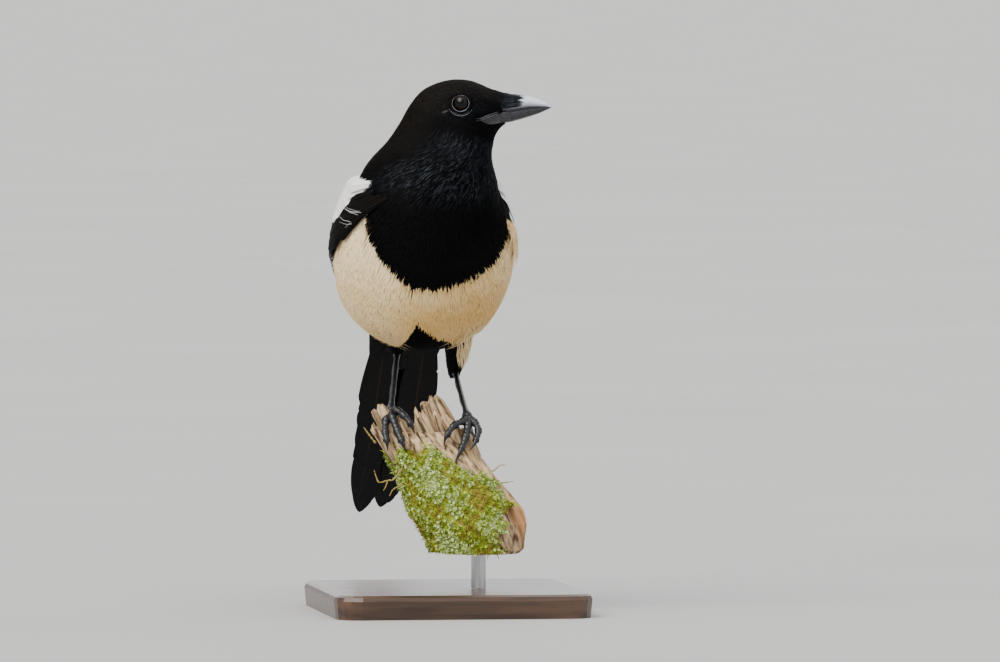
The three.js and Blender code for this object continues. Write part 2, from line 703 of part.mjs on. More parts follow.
// Perch: the broken end of a leaning branch. Each level gives its reach to the bird's right
// and left (X) and to the front and back (Y).
const PERCH = [
  // height, right, left, front, back
  [ROD_TOP + GAP, 6, 53, -29, 19],
  [40, 3, 54, -31, 21],
  [48, -2, 55, -32, 22],
  [56, -7, 53, -31, 21],
  [66, -10, 45, -29, 20],
  [75, -13, 37, -26, 18],
  [84, -19, 30, -21, 16],
  [92, -22, 23.5, -17, 13],
  [97.5, -20, 13, -10, 8],
];
const PERCH_RING = 16;
const BARK = 0.6;                 // height of the ridges along the branch

function perchRing([z, low, high, front, back]) {
  const points = [];
  for (let k = 0; k < PERCH_RING; k++) {
    const angle = (2 * Math.PI * k) / PERCH_RING;
    const x = Math.cos(angle);
    const y = Math.sin(angle);
    const bump = BARK * (Math.sin(7 * angle + z * 0.05) + 0.6 * Math.sin(11 * angle));
    points.push(V(
      mix(low, high, 0.5 + 0.5 * x) + bump * x,
      mix(front, back, 0.5 + 0.5 * y) + bump * y,
      z));
  }
  return points;
}

// Splinters: root, tip, width and thickness at the root
const SPLINTERS = [
  [[-9, -3, 80], [-25.5, -4, 112], 14, 10],
  [[-14, -7, 80], [-28.5, -8, 101], 7, 5],
  [[-2, 2, 80], [-16, 4, 108.5], 13, 10],
  [[1, -7, 78], [-12.5, -8, 105.5], 10, 7],
  [[8, -8, 76], [-6, -10, 105.5], 10, 7],
  [[8, -3, 78], [-3, -4, 110], 11, 9],
  [[22, 1, 76], [3.5, 1, 116], 19, 13],
  [[24, -5, 74], [8.5, -5, 110], 15, 12],
  [[28, -5, 72], [17.5, -7, 100.5], 13, 13],
  [[30, 3, 72], [22, 4, 98.5], 11, 11],
];

function splinter([root, tip, wide, thick]) {
  const from = V(...root);
  const to = V(...tip);
  const rings = [0, 0.5, 0.85, 1].map((t, i) => {
    const size = [1, 0.94, 0.74, 0.42][i];
    const lean = random(-0.6, 0.6);
    const at = from.clone().lerp(to, t).add(V(lean, lean, 0));
    const ring = [];
    for (let k = 0; k < 6; k++) {
      const angle = (Math.PI * k) / 3 + 0.3;
      const rough = random(0.86, 1.12);
      ring.push(at.clone().add(V(
        (wide / 2) * size * rough * Math.cos(angle),
        (thick / 2) * size * rough * Math.sin(angle),
        t === 1 ? random(-0.8, 0.8) : 0)));
    }
    return ring;
  });
  return loft(rings);
}

const group = new THREE.Group();
group.position.set(-BASE_CENTRE[0], -BASE_CENTRE[1], 0);
const add = (name, shape, material) => group.add(node(name, shape, material));

const bill = makeBill();
add('head', makeHead(), BLACK);
add('neck', neck, BLACK);
add('bill_upper', bill.upper, HORN);
add('bill_lower', bill.lower, HORN);
const footprints = [];       // the shapes that feet and claws press into the perch
Object.entries(SIDES).forEach(([name, side]) => {
  const leg = LEGS[name];
  add(`eye_${name}`, ball(EYE_RADIUS, eyeCentre(side), [1, 1, 1], [12, 8]), EYE);
  add(`wing_${name}`, makeWing(side).subtract(bodyGrown), GLOSS);
  add(`scapulars_${name}`, makeScapulars(side).subtract(bodyGrown), WHITE);
  const tarsus = makeTarsus(leg);
  const foot = makeFoot(leg).subtract(makeTarsus(leg, GAP));
  add(`thigh_${name}`, makeThigh(leg).subtract(bodyGrown).subtract(makeTarsus(leg, GAP)), BLACK);
  add(`tarsus_${name}`, tarsus.subtract(bodyGrown), LEG);
  add(`foot_${name}`, foot, LEG);
  footprints.push(ball(KNUCKLE_RADIUS + GAP, V(...leg.foot), [1, 1.1, 1], [12, 8]));
  footprints.push(makeTarsus(leg, GAP));
  Object.keys(leg.toes).forEach((toe) => {
    add(`claw_${name}_${toe}`, makeClaw(leg, toe), HORN);
    footprints.push(makeToe(leg, toe, GAP), makeClaw(leg, toe, GAP + 0.1));
  });
});
add('torso', torso, CREAM);
add('tail', makeTail().subtract(bodyGrown), GLOSS);
add('coverts_over_tail', tailCoverts(OVER_TAIL).subtract(bodyGrown), BLACK);
add('coverts_under_tail', tailCoverts(UNDER_TAIL).subtract(bodyGrown), BLACK);

let wood = join([loft(PERCH.map(perchRing)), ...SPLINTERS.map(splinter)]);
footprints.forEach((print) => { wood = wood.subtract(print); });
add('perch', wood, WOOD);

const [, , baseHeight] = BASE_SIZE;
const rod = new THREE.CylinderGeometry(ROD_RADIUS, ROD_RADIUS, ROD_TOP - GAP - baseHeight, 24);
rod.rotateX(Math.PI / 2);
rod.translate(...ROD_PLACE, (ROD_TOP + baseHeight + GAP) / 2);
add('stand_rod', fromGeometry(rod), STEEL);

function makeBase() {
  const [wide, deep, high] = BASE_SIZE;
  const corner = BASE_CORNER;
  const rings = [[0, 1], [high - 3, 0], [high - 1, 0.8], [high, 2.6]].map(([z, inset]) => {
    const ringPoints = [];
    for (let k = 0; k < 4; k++) {
      for (let j = 0; j <= 4; j++) {
        const angle = (Math.PI / 2) * (k + j / 4);
        const cx = (wide / 2 - corner) * (k === 0 || k === 3 ? 1 : -1);
        const cy = (deep / 2 - corner) * (k < 2 ? 1 : -1);
        ringPoints.push(V(
          BASE_CENTRE[0] + cx + (corner - inset) * Math.cos(angle),
          BASE_CENTRE[1] + cy + (corner - inset) * Math.sin(angle), z));
      }
    }
    return ringPoints;
  });
  return loft(rings);
}
add('stand_base', makeBase(), PLINTH);

export default group;
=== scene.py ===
# Looks of a life-size eurasian magpie that stands on the splintered end of a mossy branch.
# Shapes are worked out in millimetres in the bird's own frame: it faces -Y with its tail
# towards +Y, its head is turned towards +X, and "left" and "right" are the bird's own.
# Every mesh is then moved into the row frame, in metres.
import math
import bpy
import numpy as np
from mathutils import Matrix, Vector, kdtree


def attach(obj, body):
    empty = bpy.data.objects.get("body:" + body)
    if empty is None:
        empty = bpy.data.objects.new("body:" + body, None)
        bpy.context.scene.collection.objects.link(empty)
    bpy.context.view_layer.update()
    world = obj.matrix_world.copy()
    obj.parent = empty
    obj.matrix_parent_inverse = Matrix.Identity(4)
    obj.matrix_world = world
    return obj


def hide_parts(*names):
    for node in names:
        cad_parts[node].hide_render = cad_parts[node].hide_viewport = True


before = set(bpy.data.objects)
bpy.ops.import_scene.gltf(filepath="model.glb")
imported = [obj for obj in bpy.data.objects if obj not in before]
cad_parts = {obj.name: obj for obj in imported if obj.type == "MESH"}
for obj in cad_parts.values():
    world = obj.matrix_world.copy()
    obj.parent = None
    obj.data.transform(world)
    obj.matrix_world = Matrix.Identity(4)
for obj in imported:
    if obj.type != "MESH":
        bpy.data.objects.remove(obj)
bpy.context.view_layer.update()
rng = np.random.default_rng(11)

ORIGIN = np.array([14.0, 10.0, 0.0])
SIDES = {"right": -1, "left": 1}


# Body form. Each station is an oval from its under point to its over point, both given as
# forward and height in the upright plane through the turning axis of the neck.
STATIONS = np.array([
    # under forward, height, over forward, height, yaw of that plane, half width
    [-155, 106, -164, 119, 0, 16],
    [-106, 140, -115, 153.5, 0, 19.5],
    [-68, 161, -77, 178.5, 0, 19],
    [-50, 152, -68, 187, 0, 29],
    [-30, 145, -60, 195.5, 0, 36],
    [-12, 141.5, -53, 206, 0, 43.5],
    [4, 147.5, -47.5, 216, 0, 47],
    [18, 159.5, -43, 225, 0, 48.5],
    [29, 176, -38.5, 232, 0, 47],
    [35.5, 193.5, -35, 238, 2, 43],
    [38, 210, -32, 243, 8, 38.5],
    [37, 225, -29.5, 246.5, 24, 35.5],
    [33.5, 238, -26.5, 250.5, 46, 31.5],
    [32, 248, -22.5, 256.5, 66, 25.5],
    [33, 255.5, -17, 265.5, 74, 21.5],
    [34.5, 259.3, -11.5, 275, 74, 19],
    [36, 261.5, -4, 283, 74, 17.8],
    [37.5, 263, 8, 287.6, 74, 17.2],
    [38.5, 263.8, 20, 287.6, 74, 15.8],
    [39.3, 264.2, 31, 283.4, 74, 12.5],
    [40, 264.5, 38.5, 281, 74, 7.8],
], float)
LAST = len(STATIONS) - 1
NECK_AXIS_Y = -12.0
HEAD_YAW = 74.0
HEAD_SHIFT = 3.0
TAIL_SWAY = 4.5
ROUND_BACK = 2.15
ROUND_BELLY = 1.85


def columns_at(table, value):
    """Each further column of a table, at a value of its first column."""
    return [np.interp(value, table[:, 0], column) for column in table.T[1:]]


def mix(a, b, t):
    return a + (b - a) * t


def ease(x, low, high):
    t = np.clip((np.asarray(x, float) - low) / (high - low), 0, 1)
    return t * t * (3 - 2 * t)


def unit(v):
    return v / (np.linalg.norm(v, axis=-1, keepdims=True) + 1e-12)


def axes(yaw):
    yaw = np.radians(np.asarray(yaw, float))
    level = np.zeros_like(yaw)
    facing = np.stack([np.sin(yaw), -np.cos(yaw), level], -1)
    left = np.stack([np.cos(yaw), np.sin(yaw), level], -1)
    return facing, left


def turned(yaw, forward, height, leftward=0.0):
    facing, left = axes(yaw)
    forward, height, leftward = np.broadcast_arrays(
        *(np.asarray(v, float) for v in (forward, height, leftward)))
    axis = np.stack([0 * height, 0 * height + NECK_AXIS_Y, height], -1)
    return axis + facing * forward[..., None] + left * leftward[..., None]


def on_head(forward, height, leftward=0.0):
    return turned(HEAD_YAW, forward, height, leftward) + np.array([HEAD_SHIFT, 0, 0])


def form(place):
    """The oval at any place between two stations: middle, half height, half width, down, left."""
    place = np.asarray(place, float)
    i = np.clip(np.floor(place).astype(int), 0, LAST - 1)
    near = (STATIONS[np.clip(i + k, 0, LAST)] for k in (-1, 0, 1, 2))
    u0, z0, u1, z1, yaw, side = np.moveaxis(catmull_rom(*near, (place - i)[..., None]), -1, 0)
    shift = HEAD_SHIFT * ease(place, 9, 14) + TAIL_SWAY * (1 - ease(place, 0.6, 2.4))
    shift = np.stack([shift, 0 * shift, 0 * shift], -1)
    under = turned(yaw, u0, z0) + shift
    over = turned(yaw, u1, z1) + shift
    half = np.linalg.norm(under - over, axis=-1) / 2
    down = (under - over) / (2 * half)[..., None]
    return (under + over) / 2, half, side, down, axes(yaw)[1]


def skin(place, angle, lift=0.0):
    """A point on the body: angle 0 is mid-back, 90 the bird's left, 180 the belly."""
    place, angle, lift = np.broadcast_arrays(
        *(np.asarray(v, float) for v in (place, angle, lift)))
    at, half, side, down, left = form(place)
    x, y = np.sin(np.radians(angle)), np.cos(np.radians(angle))
    trunk = 1 - ease(place, 9, 12)
    rounding = np.where(y > 0, ROUND_BACK, mix(ROUND_BACK, ROUND_BELLY, trunk))
    across = np.sign(x) * np.abs(x) ** (2 / rounding) * (side + lift)
    upward = np.sign(y) * np.abs(y) ** (2 / rounding) * (half + lift)
    return at + left * across[..., None] - down * upward[..., None]


def skin_normal(place, angle):
    a = skin(place, angle + 2) - skin(place, angle - 2)
    b = skin(place + 0.04, angle) - skin(place - 0.04, angle)
    out = unit(np.cross(a, b))
    flip = np.sum(out * (skin(place, angle) - form(place)[0]), -1) < 0
    return np.where(flip[..., None], -out, out)


def place_step(place, angle):
    """Millimetres along the body for one unit of place, at this angle."""
    ahead = skin(place + 0.05, angle) - skin(place - 0.05, angle)
    return np.linalg.norm(ahead, axis=-1) / 0.1


# Meshes
def build(name, parts, material, slot, *replaced, normals=None):
    """A mesh object from parts (points in bird millimetres, faces all of one size, fields).
    The field uv, if any, becomes the bake map; replaced names the CAD nodes it stands for."""
    points, faces, fields = joined(parts)
    uv = fields.pop("uv", None)
    faces = np.asarray(faces, np.int32)
    count, size = faces.shape
    mesh = bpy.data.meshes.new(name)
    mesh.vertices.add(len(points))
    metres = (points - ORIGIN) * 0.001
    mesh.vertices.foreach_set("co", metres.astype(np.float32).ravel())
    mesh.loops.add(count * size)
    mesh.loops.foreach_set("vertex_index", faces.ravel())
    mesh.polygons.add(count)
    mesh.polygons.foreach_set("loop_start", np.arange(0, count * size, size, dtype=np.int32))
    mesh.polygons.foreach_set("use_smooth", np.full(count, True))
    mesh.update(calc_edges=True)
    for field, values in fields.items():
        made = mesh.attributes.new(field, "FLOAT", "POINT")
        made.data.foreach_set("value", values.astype(np.float32))
    if uv is not None:
        layer = mesh.uv_layers.new(name="OFBake")
        layer.data.foreach_set("uv", uv.astype(np.float32)[faces.ravel()].ravel())
    if normals is not None:
        mesh.normals_split_custom_set_from_vertices(normals.astype(np.float32).tolist())
    obj = bpy.data.objects.new(name, mesh)
    bpy.context.scene.collection.objects.link(obj)
    obj.data.materials.append(material)
    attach(obj, "root")
    if replaced:
        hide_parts(*replaced)
    return obj


def grid(a, b):
    return np.meshgrid(a, b, indexing="ij")


def circle(count):
    """Angles evenly round a circle."""
    return np.linspace(0, 2 * np.pi, count, endpoint=False)


def grid_faces(rows, columns, wrap=False):
    """Quads over a grid of points; wrap joins the last column to the first."""
    i, j = grid(np.arange(rows - 1), np.arange(columns if wrap else columns - 1))
    a, b = i * columns + j, i * columns + (j + 1) % columns
    return np.stack([a, b, b + columns, a + columns], -1).reshape(-1, 4)


def ring_loft(rings, **fields):
    """A closed skin over rings (rows, count, 3), its ends drawn together; fields (rows, count)."""
    rows, count, _ = rings.shape
    first, last = rings[0].mean(0), rings[-1].mean(0)
    rings = np.concatenate([np.tile(first, (1, count, 1)), rings, np.tile(last, (1, count, 1))])
    fields = {name: np.concatenate([v[:1], v, v[-1:]]).ravel() for name, v in fields.items()}
    return rings.reshape(-1, 3), grid_faces(rows + 2, count, wrap=True), fields


def catmull_rom(a, b, c, d, f):
    return 0.5 * (2 * b + (c - a) * f + (2 * a - 5 * b + 4 * c - d) * f * f
                  + (3 * b - a - 3 * c + d) * f ** 3)


def spline(points, steps):
    """Points along a smooth curve through the given ones."""
    p = np.asarray(points, float)
    p = np.concatenate([[2 * p[0] - p[1]], p, [2 * p[-1] - p[-2]]])
    t = np.linspace(0, len(p) - 3 - 1e-9, steps)
    i = t.astype(int)
    return catmull_rom(p[i], p[i + 1], p[i + 2], p[i + 3], (t - i)[:, None])


def crossways(along, up):
    """The unit vectors across a line and upward from it."""
    across = unit(np.cross(along, np.asarray(up, float)))
    return across, np.cross(across, along)


def tube_rings(curve, radius, sides, up=(0, 0, 1), flat=1.0):
    """Rings round a curve; radius is an array (steps,) or (steps, sides)."""
    across, upward = crossways(unit(np.gradient(curve, axis=0)), up)
    turn = circle(sides)
    radius = np.asarray(radius, float)
    radius = np.broadcast_to(radius if radius.ndim > 1 else radius[:, None],
                             (len(curve), sides))
    return (curve[:, None] + across[:, None] * (radius * np.cos(turn))[..., None]
            + upward[:, None] * (radius * np.sin(turn) * flat)[..., None])


def joined(parts):
    """One set of points, faces and fields out of several (points, faces, fields)."""
    points, faces, fields, base = [], [], {}, 0
    for at, part_faces, part_fields in parts:
        points.append(at)
        faces.append(part_faces + base)
        for field, values in part_fields.items():
            shape = (len(at), *np.shape(values)[1:])
            fields.setdefault(field, []).append(np.broadcast_to(values, shape))
        base += len(at)
    return (np.concatenate(points), np.concatenate(faces),
            {field: np.concatenate(values) for field, values in fields.items()})


# Materials
class Look:
    """A material and short ways to wire its nodes."""

    def __init__(self, name, **sockets):
        self.material = bpy.data.materials.new(name)
        self.material.use_nodes = True
        self.tree = self.material.node_tree
        self.shader = self.tree.nodes["Principled BSDF"]
        for socket, value in sockets.items():
            self.shader.inputs[socket.replace("_", " ").title().replace("Ior", "IOR")
                               ].default_value = value

    def node(self, kind, inputs=(), **settings):
        made = self.tree.nodes.new(kind)
        for setting, value in settings.items():
            setattr(made, setting, value)
        for socket, value in dict(inputs).items():
            self.put(made.inputs[socket], value)
        return made

    def put(self, socket, value):
        if isinstance(value, bpy.types.NodeSocket):
            self.tree.links.new(value, socket)
        elif isinstance(value, tuple) and len(value) == 3 and socket.type == "RGBA":
            socket.default_value = (*value, 1)
        else:
            socket.default_value = value

    def field(self, name):
        return self.node("ShaderNodeAttribute", attribute_name=name).outputs["Fac"]

    def mix(self, factor, a, b):
        return self.node("ShaderNodeMix", {0: factor, 6: a, 7: b}, data_type="RGBA").outputs[2]

    def math(self, operation, a, b=0.5, clamp=False):
        return self.node("ShaderNodeMath", {0: a, 1: b}, operation=operation,
                         use_clamp=clamp).outputs[0]

    def position(self, scale=(1, 1, 1), lean=0.0):
        there = self.node("ShaderNodeTexCoord").outputs["Object"]
        if lean:
            there = self.node("ShaderNodeMapping", {"Vector": there, "Rotation": (0, lean, 0)}
                              ).outputs[0]
        return self.node("ShaderNodeMapping", {"Vector": there, "Scale": scale}).outputs[0]

    def noise(self, scale, stretch=(1, 1, 1), detail=3.0, vector=None):
        """Noise with about `scale` waves per metre."""
        return self.node("ShaderNodeTexNoise", {
            "Vector": vector or self.position(stretch), "Scale": scale, "Detail": detail,
        }).outputs["Fac"]

    def ramp(self, value, low, high, start=0.0, end=1.0):
        return self.node("ShaderNodeMapRange", {
            "Value": value, "From Min": low, "From Max": high, "To Min": start, "To Max": end,
        }).outputs[0]

    def colour(self, value):
        self.put(self.shader.inputs["Base Color"], value)

    def roughness(self, value):
        self.put(self.shader.inputs["Roughness"], value)

    def bump(self, height, distance, strength=0.6):
        bump = self.node("ShaderNodeBump", {"Height": height, "Strength": strength,
                                            "Distance": distance})
        self.put(self.shader.inputs["Normal"], bump.outputs["Normal"])


def coat_look():
    """Skin and coat: fields say how dark, brown, white and warm each spot is, and how much sheen
    is painted on it (gloss); the warm tan is partly painted shade.
    """
    look = Look("plumage", specular_ior_level=0.05)
    tone = look.field("tone")
    cloud = look.noise(70, detail=4)
    # warm turns the cream into a darker tan. Where the markings raise it, this is painted shade
    # over the coat's own cream.
    warm = look.math("ADD", look.field("warm"), look.ramp(cloud, 0.3, 0.7, -0.18, 0.18))
    cream = look.mix(look.ramp(warm, 0.0, 1.0), (0.95, 0.79, 0.49), (0.74, 0.47, 0.165))
    pale = look.mix(look.field("white"), cream, (0.88, 0.87, 0.86))
    pale = look.mix(look.ramp(tone, 0, 1, 0.0, 0.06), pale, (0.50, 0.36, 0.19))
    # Painted sheen: gloss turns single strands bluish grey, more the higher their tone. This
    # changes colour only.
    painted_sheen = look.math("MULTIPLY", look.field("gloss"), look.math("POWER", tone, 6.0))
    black = look.mix(painted_sheen, (0.0012, 0.0012, 0.0016), (0.046, 0.055, 0.068))
    brown = look.math("MULTIPLY", look.field("brown"), look.ramp(tone, 0, 1, 0.15, 1))
    black = look.mix(brown, black, (0.012, 0.0095, 0.007))
    look.colour(look.mix(look.field("dark"), pale, black))
    look.roughness(look.ramp(look.field("dark"), 0, 1, 0.9, 0.6))
    look.bump(look.noise(900, detail=2), 0.0002, 0.3)
    return look.material


def vane_look(name, base, bright, barb=(0.5, 0.5, 0.5), roughness=0.45, coat=0.0,
              specular=0.16):
    """A flight feather: dull shaft, barbs slanting from it, colour that shifts along it."""
    look = Look(name, specular_ior_level=specular, coat_weight=coat, coat_roughness=0.3)
    across, along, tone = look.field("across"), look.field("along"), look.field("tone")
    slant = look.math("ADD", look.math("MULTIPLY", along, 1.0),
                      look.math("MULTIPLY", look.math("ABSOLUTE", across), -7.0))
    barbs = look.math("SINE", look.math("MULTIPLY", slant, 7.5))
    broad = look.node("ShaderNodeTexNoise", {"W": look.math("MULTIPLY", slant, 0.55),
                                             "Scale": 1.0, "Detail": 3.0},
                      noise_dimensions="1D").outputs["Fac"]
    colour = look.mix(look.ramp(broad, 0.3, 0.75), base, bright)
    colour = look.mix(look.ramp(tone, 0, 1, 0, 0.35), colour, base)
    shaft = look.math("SUBTRACT", 1.0, look.ramp(look.math("ABSOLUTE", across), 0.02, 0.09))
    colour = look.mix(look.math("MULTIPLY", shaft, 0.6), colour, barb)
    look.colour(colour)
    look.roughness(look.ramp(broad, 0.2, 0.8, roughness - 0.08, roughness + 0.1))
    look.bump(look.math("ADD", look.math("MULTIPLY", barbs, 0.5), broad), 0.00025, 0.5)
    return look.material


PLUMAGE = coat_look()
BLACK_VANE = vane_look("black_vane", (0.0014, 0.0013, 0.0014), (0.0042, 0.0034, 0.0028),
                       barb=(0.012, 0.009, 0.007), roughness=0.6, specular=0.05)
GLOSS_VANE = vane_look("gloss_vane", (0.0014, 0.0024, 0.0036), (0.004, 0.010, 0.016),
                       barb=(0.008, 0.008, 0.009), roughness=0.42, coat=0.04, specular=0.1)
TAIL_VANE = vane_look("tail_vane", (0.0012, 0.0012, 0.0014), (0.003, 0.0038, 0.0040),
                      barb=(0.026, 0.015, 0.009), roughness=0.55, specular=0.05)
WHITE_VANE = vane_look("white_vane", (0.9, 0.9, 0.9), (0.84, 0.83, 0.81),
                       barb=(0.8, 0.78, 0.74), roughness=0.8)

# Markings: the lower edge of the black bib, as a place at each angle round the body.
BIB_OVERHANG = 0.05              # black feathers hang this far over the cream ones
BIB_EDGE = np.array([
    # angle, place
    [90, 9.3], [100, 8.8], [121, 8.5], [133, 8.3], [149, 8.2], [160, 8.15], [181, 8.05],
    [197, 8.05], [206, 8.25], [212, 8.4], [222, 8.65], [233, 9.0], [239, 9.2], [249, 9.8],
    [265, 10.4], [275, 10.6],
])
# Behind this the under side is black; a notch of it runs up between the legs.
VENT_EDGE = np.array([
    # angle, place
    [90, 4.0], [140, 4.6], [150, 5.3], [160, 5.8], [167, 6.15], [175, 6.45], [184, 6.8],
    [190, 7.05], [194, 6.4], [199, 5.6], [205, 5.0], [215, 4.4], [270, 4.0],
])
RUMP = (3.3, 4.6)                # the rump is grey-white between these places
SKIN_VOXEL = 0.0013              # metres
STRAND_STEPS = 4                 # points along one strand of the coat
TUFT_PATCH = 0.003               # size of a strand on the bake map
THIGH_STRANDS = 2600
THIGH_LENGTH = 36.0              # mm
FRINGE_STRANDS = 230             # pale strands over the left thigh


def edge_place(edge, angle):
    return np.interp(angle, edge[:, 0], edge[:, 1])


def markings(place, angle):
    """How dark, brown, white and warm the coat is at a place, each from 0 to 1, and how much sheen
    is painted on it (gloss); the warm tan is partly painted shade.
    """
    place, angle = np.broadcast_arrays(np.asarray(place, float), np.asarray(angle, float))
    angle = angle % 360
    near = np.minimum(angle, 360 - angle)
    under = near > 86
    bib = place > edge_place(BIB_EDGE, angle) + BIB_OVERHANG
    vent = place < edge_place(VENT_EDGE, angle)
    rump = (place < RUMP[1]) & (place > RUMP[0])
    dark = np.where(under, bib | vent, ~rump).astype(float)
    front = ease(near, 70, 110)
    # gloss says where bluish-grey sheen is painted into the colour: throat, breast and front of
    # the neck, sides of the head, crown.
    gloss = front * ease(place, 10.6, 11.8) * (1 - ease(place, 13.9, 14.9))
    gloss = np.maximum(gloss, 0.22 * ease(place, 14.5, 16) * (1 - ease(place, 18.0, 19.0))
                       * ease(near, 40, 80) * (1 - ease(near, 100, 125)))
    gloss = np.maximum(gloss, 0.4 * ease(place, 15.5, 16.5) * (1 - ease(near, 50, 90)))
    back = 1 - ease(near, 30, 95)
    brown = np.maximum(back * ease(place, 9, 12), 0.7 * ease(place, 15.5, 17) * back)
    white = np.where(under, 0.0, 1.0) * (1 - dark)
    # warm is the cream's own tone. It rises towards the lower belly and the bird's left and falls
    # near the bib; that darker tan is painted shade.
    warm = (0.32 + 0.6 * (1 - ease(np.abs(angle - 168), 15, 75))) \
        * (1 - 0.55 * ease(place, 7.2, 9.2)) + 0.1 * ease(angle, 190, 130)
    return {"dark": dark, "gloss": gloss, "brown": brown, "white": white, "warm": warm}


def coat_depth(place, angle):
    """How far the skin lies under the tips of the coat."""
    body = ease(place, 2, 4) * (1 - ease(place, 9, 14))
    return 0.75 + 2.2 * body + 0.9 * ease(place, 9, 11) * (1 - ease(place, 13, 15))


def bake_place(place, angle):
    """Where a root lies on the unwrap of the body: round it and along it."""
    return np.stack([0.02 + 0.96 * (angle % 360) / 360, 0.02 + 0.80 * place / LAST], -1)


THIGHS = {
    # hip, ankle
    "right": (np.array([-19, 14, 166.0]), np.array([-10.4, 31, 141.0])),
    "left": (np.array([21, 12, 164.0]), np.array([21.2, 34, 130.0])),
}


def thigh(side, share, angle, lift=0.0):
    """A point on a thigh: share runs from hip to ankle, angle goes round it."""
    hip, ankle = THIGHS[side]
    share, angle, lift = np.broadcast_arrays(
        *(np.asarray(v, float) for v in (share, angle, lift)))
    middle = mix(hip, ankle, 0.55) + np.array([0, -1.5, 0])
    end = ankle + unit(ankle - middle) * 1.5
    s = share[..., None]
    bend = 2 * middle - (hip + end) / 2
    at = (1 - s) ** 2 * hip + 2 * s * (1 - s) * bend + s ** 2 * end
    across, forward = crossways(unit(2 * (1 - s) * (bend - hip) + 2 * s * (end - bend)),
                                (0, 1, 0))
    radius = mix(11, 3.4, np.clip(share, 0, 1) ** 0.8) * (1 - 0.24 * ease(share, 0.88, 1.1)) + lift
    turn = np.radians(angle)
    return at + across * (radius * np.cos(turn))[..., None] \
        + forward * (radius * np.sin(turn))[..., None]


def make_skin():
    """One skin for head, neck, trunk and thighs, without a seam, under the coat."""
    place, angle = grid(np.arange(2.0, LAST + 0.01, 0.125), np.arange(0, 360, 5.0))
    body = skin(place, angle, -coat_depth(place, angle) - 0.1)
    parts = [ring_loft(body)]
    for side in SIDES:
        share, turn = grid(np.linspace(0, 0.97, 24), np.arange(0, 360, 15.0))
        parts.append(ring_loft(thigh(side, share, turn, -1.0)))
    rough = build("rough_skin", parts, PLUMAGE, "black_plumage")
    remesh = rough.modifiers.new("one_skin", "REMESH")
    remesh.mode, remesh.voxel_size = "VOXEL", SKIN_VOXEL
    smooth = rough.modifiers.new("smooth", "SMOOTH")
    smooth.iterations = 4
    shape = rough.evaluated_get(bpy.context.evaluated_depsgraph_get()).to_mesh()
    co = np.empty(len(shape.vertices) * 3, np.float32)
    shape.vertices.foreach_get("co", co)
    co = co.reshape(-1, 3) * 1000 + ORIGIN
    quads = np.array([tuple(p.vertices) for p in shape.polygons], np.int32)
    bpy.data.objects.remove(rough)
    tree = kdtree.KDTree(place.size)
    for n, p in enumerate(body.reshape(-1, 3)):
        tree.insert(p, n)
    tree.balance()
    near = np.array([tree.find(p)[1] for p in co])
    fields = markings(place.ravel()[near], angle.ravel()[near])
    on_thigh = (co[:, 2] < 150) & (np.abs(co[:, 1] - 25) < 14)
    fields["dark"] = np.where(on_thigh, 1.0, fields["dark"])
    build("skin", [(co, quads, {**fields, "tone": 0.3})], PLUMAGE, "black_plumage",
          "head", "neck", "torso", "thigh_right", "thigh_left")


# Coat
def strands(centre, normal, width, roots=None, ridge=0.3, **values):
    """Thin tapering vanes: centre (n, steps, 3), normal (n, 3), width (n,). Each has a
    roof-shaped section and ends in a point. roots says where each lies on the bake map, and
    every value is one number or one for each strand. Gives points, faces, fields and, for
    each point, its share of the way to the tip."""
    n, steps, _ = centre.shape
    across, upward = crossways(unit(np.gradient(centre, axis=1)), normal[:, None])
    share = np.linspace(0, 1, steps)
    half = 0.5 * width[:, None] * np.interp(share, [0, 0.35, 0.75, 1], [0.55, 1, 0.8, 0])[None]
    half = half[..., None]
    left, right = centre - across * half, centre + across * half
    top = centre + upward * half * ridge * 2
    body = np.stack([left, top, right], 2)[:, :-1].reshape(n, -1, 3)
    points = np.concatenate([body, centre[:, -1:]], 1)
    each = points.shape[1]
    faces = []
    for k in range(steps - 2):
        for a in (0, 1):
            b = 3 * k + a
            faces += [[b, b + 1, b + 4], [b, b + 4, b + 3]]
    last = 3 * (steps - 2)
    faces += [[last, last + 1, each - 1], [last + 1, last + 2, each - 1]]
    faces = np.array(faces)[None] + (np.arange(n) * each)[:, None, None]
    rows = np.concatenate([np.repeat(share[:-1], 3), [1.0]])
    fields = {name: np.repeat(np.broadcast_to(v, n), each) for name, v in values.items()}
    if roots is not None:
        columns = np.concatenate([np.tile([-1.0, 0, 1], steps - 1), [0.0]])
        patch = np.stack([columns * 0.5, rows - 0.5], -1) * TUFT_PATCH
        fields["uv"] = (roots[:, None] + patch[None]).reshape(-1, 2)
    return points.reshape(-1, 3), faces.reshape(-1, 3), fields, np.tile(rows, n)


def scatter(low, high, gap, keep):
    """Roots spread evenly over the body from one place to another, with a little jitter."""
    places, angles = [], []
    place = low
    while place < high:
        at = skin(place, np.arange(0, 361, 10.0))
        girth = np.linalg.norm(np.diff(at, axis=0), axis=-1).sum()
        count = int(girth / gap)
        angles.append((np.arange(count) + rng.random(count)) * 360 / count)
        places.append(np.full(count, place))
        place += gap / float(np.median(place_step(place, np.arange(0, 360, 30.0))))
    place, angle = np.concatenate(places), np.concatenate(angles)
    place = place + rng.normal(0, 0.02, len(place))
    chosen = keep(place, angle)
    return place[chosen], angle[chosen]


EYE_PLACE = (18.0, 275.6)        # forward and height on the head
EYE_DEPTH = 13.2
EYE_RADIUS = 5.9
LID_RADIUS = 4.75
BRISTLES = 1700


def head_coordinates(points):
    """Forward, height and leftward on the head for points in the bird's frame."""
    facing, left = axes(HEAD_YAW)
    there = points - np.array([HEAD_SHIFT, NECK_AXIS_Y, 0])
    return there @ facing, points[..., 2], there @ left


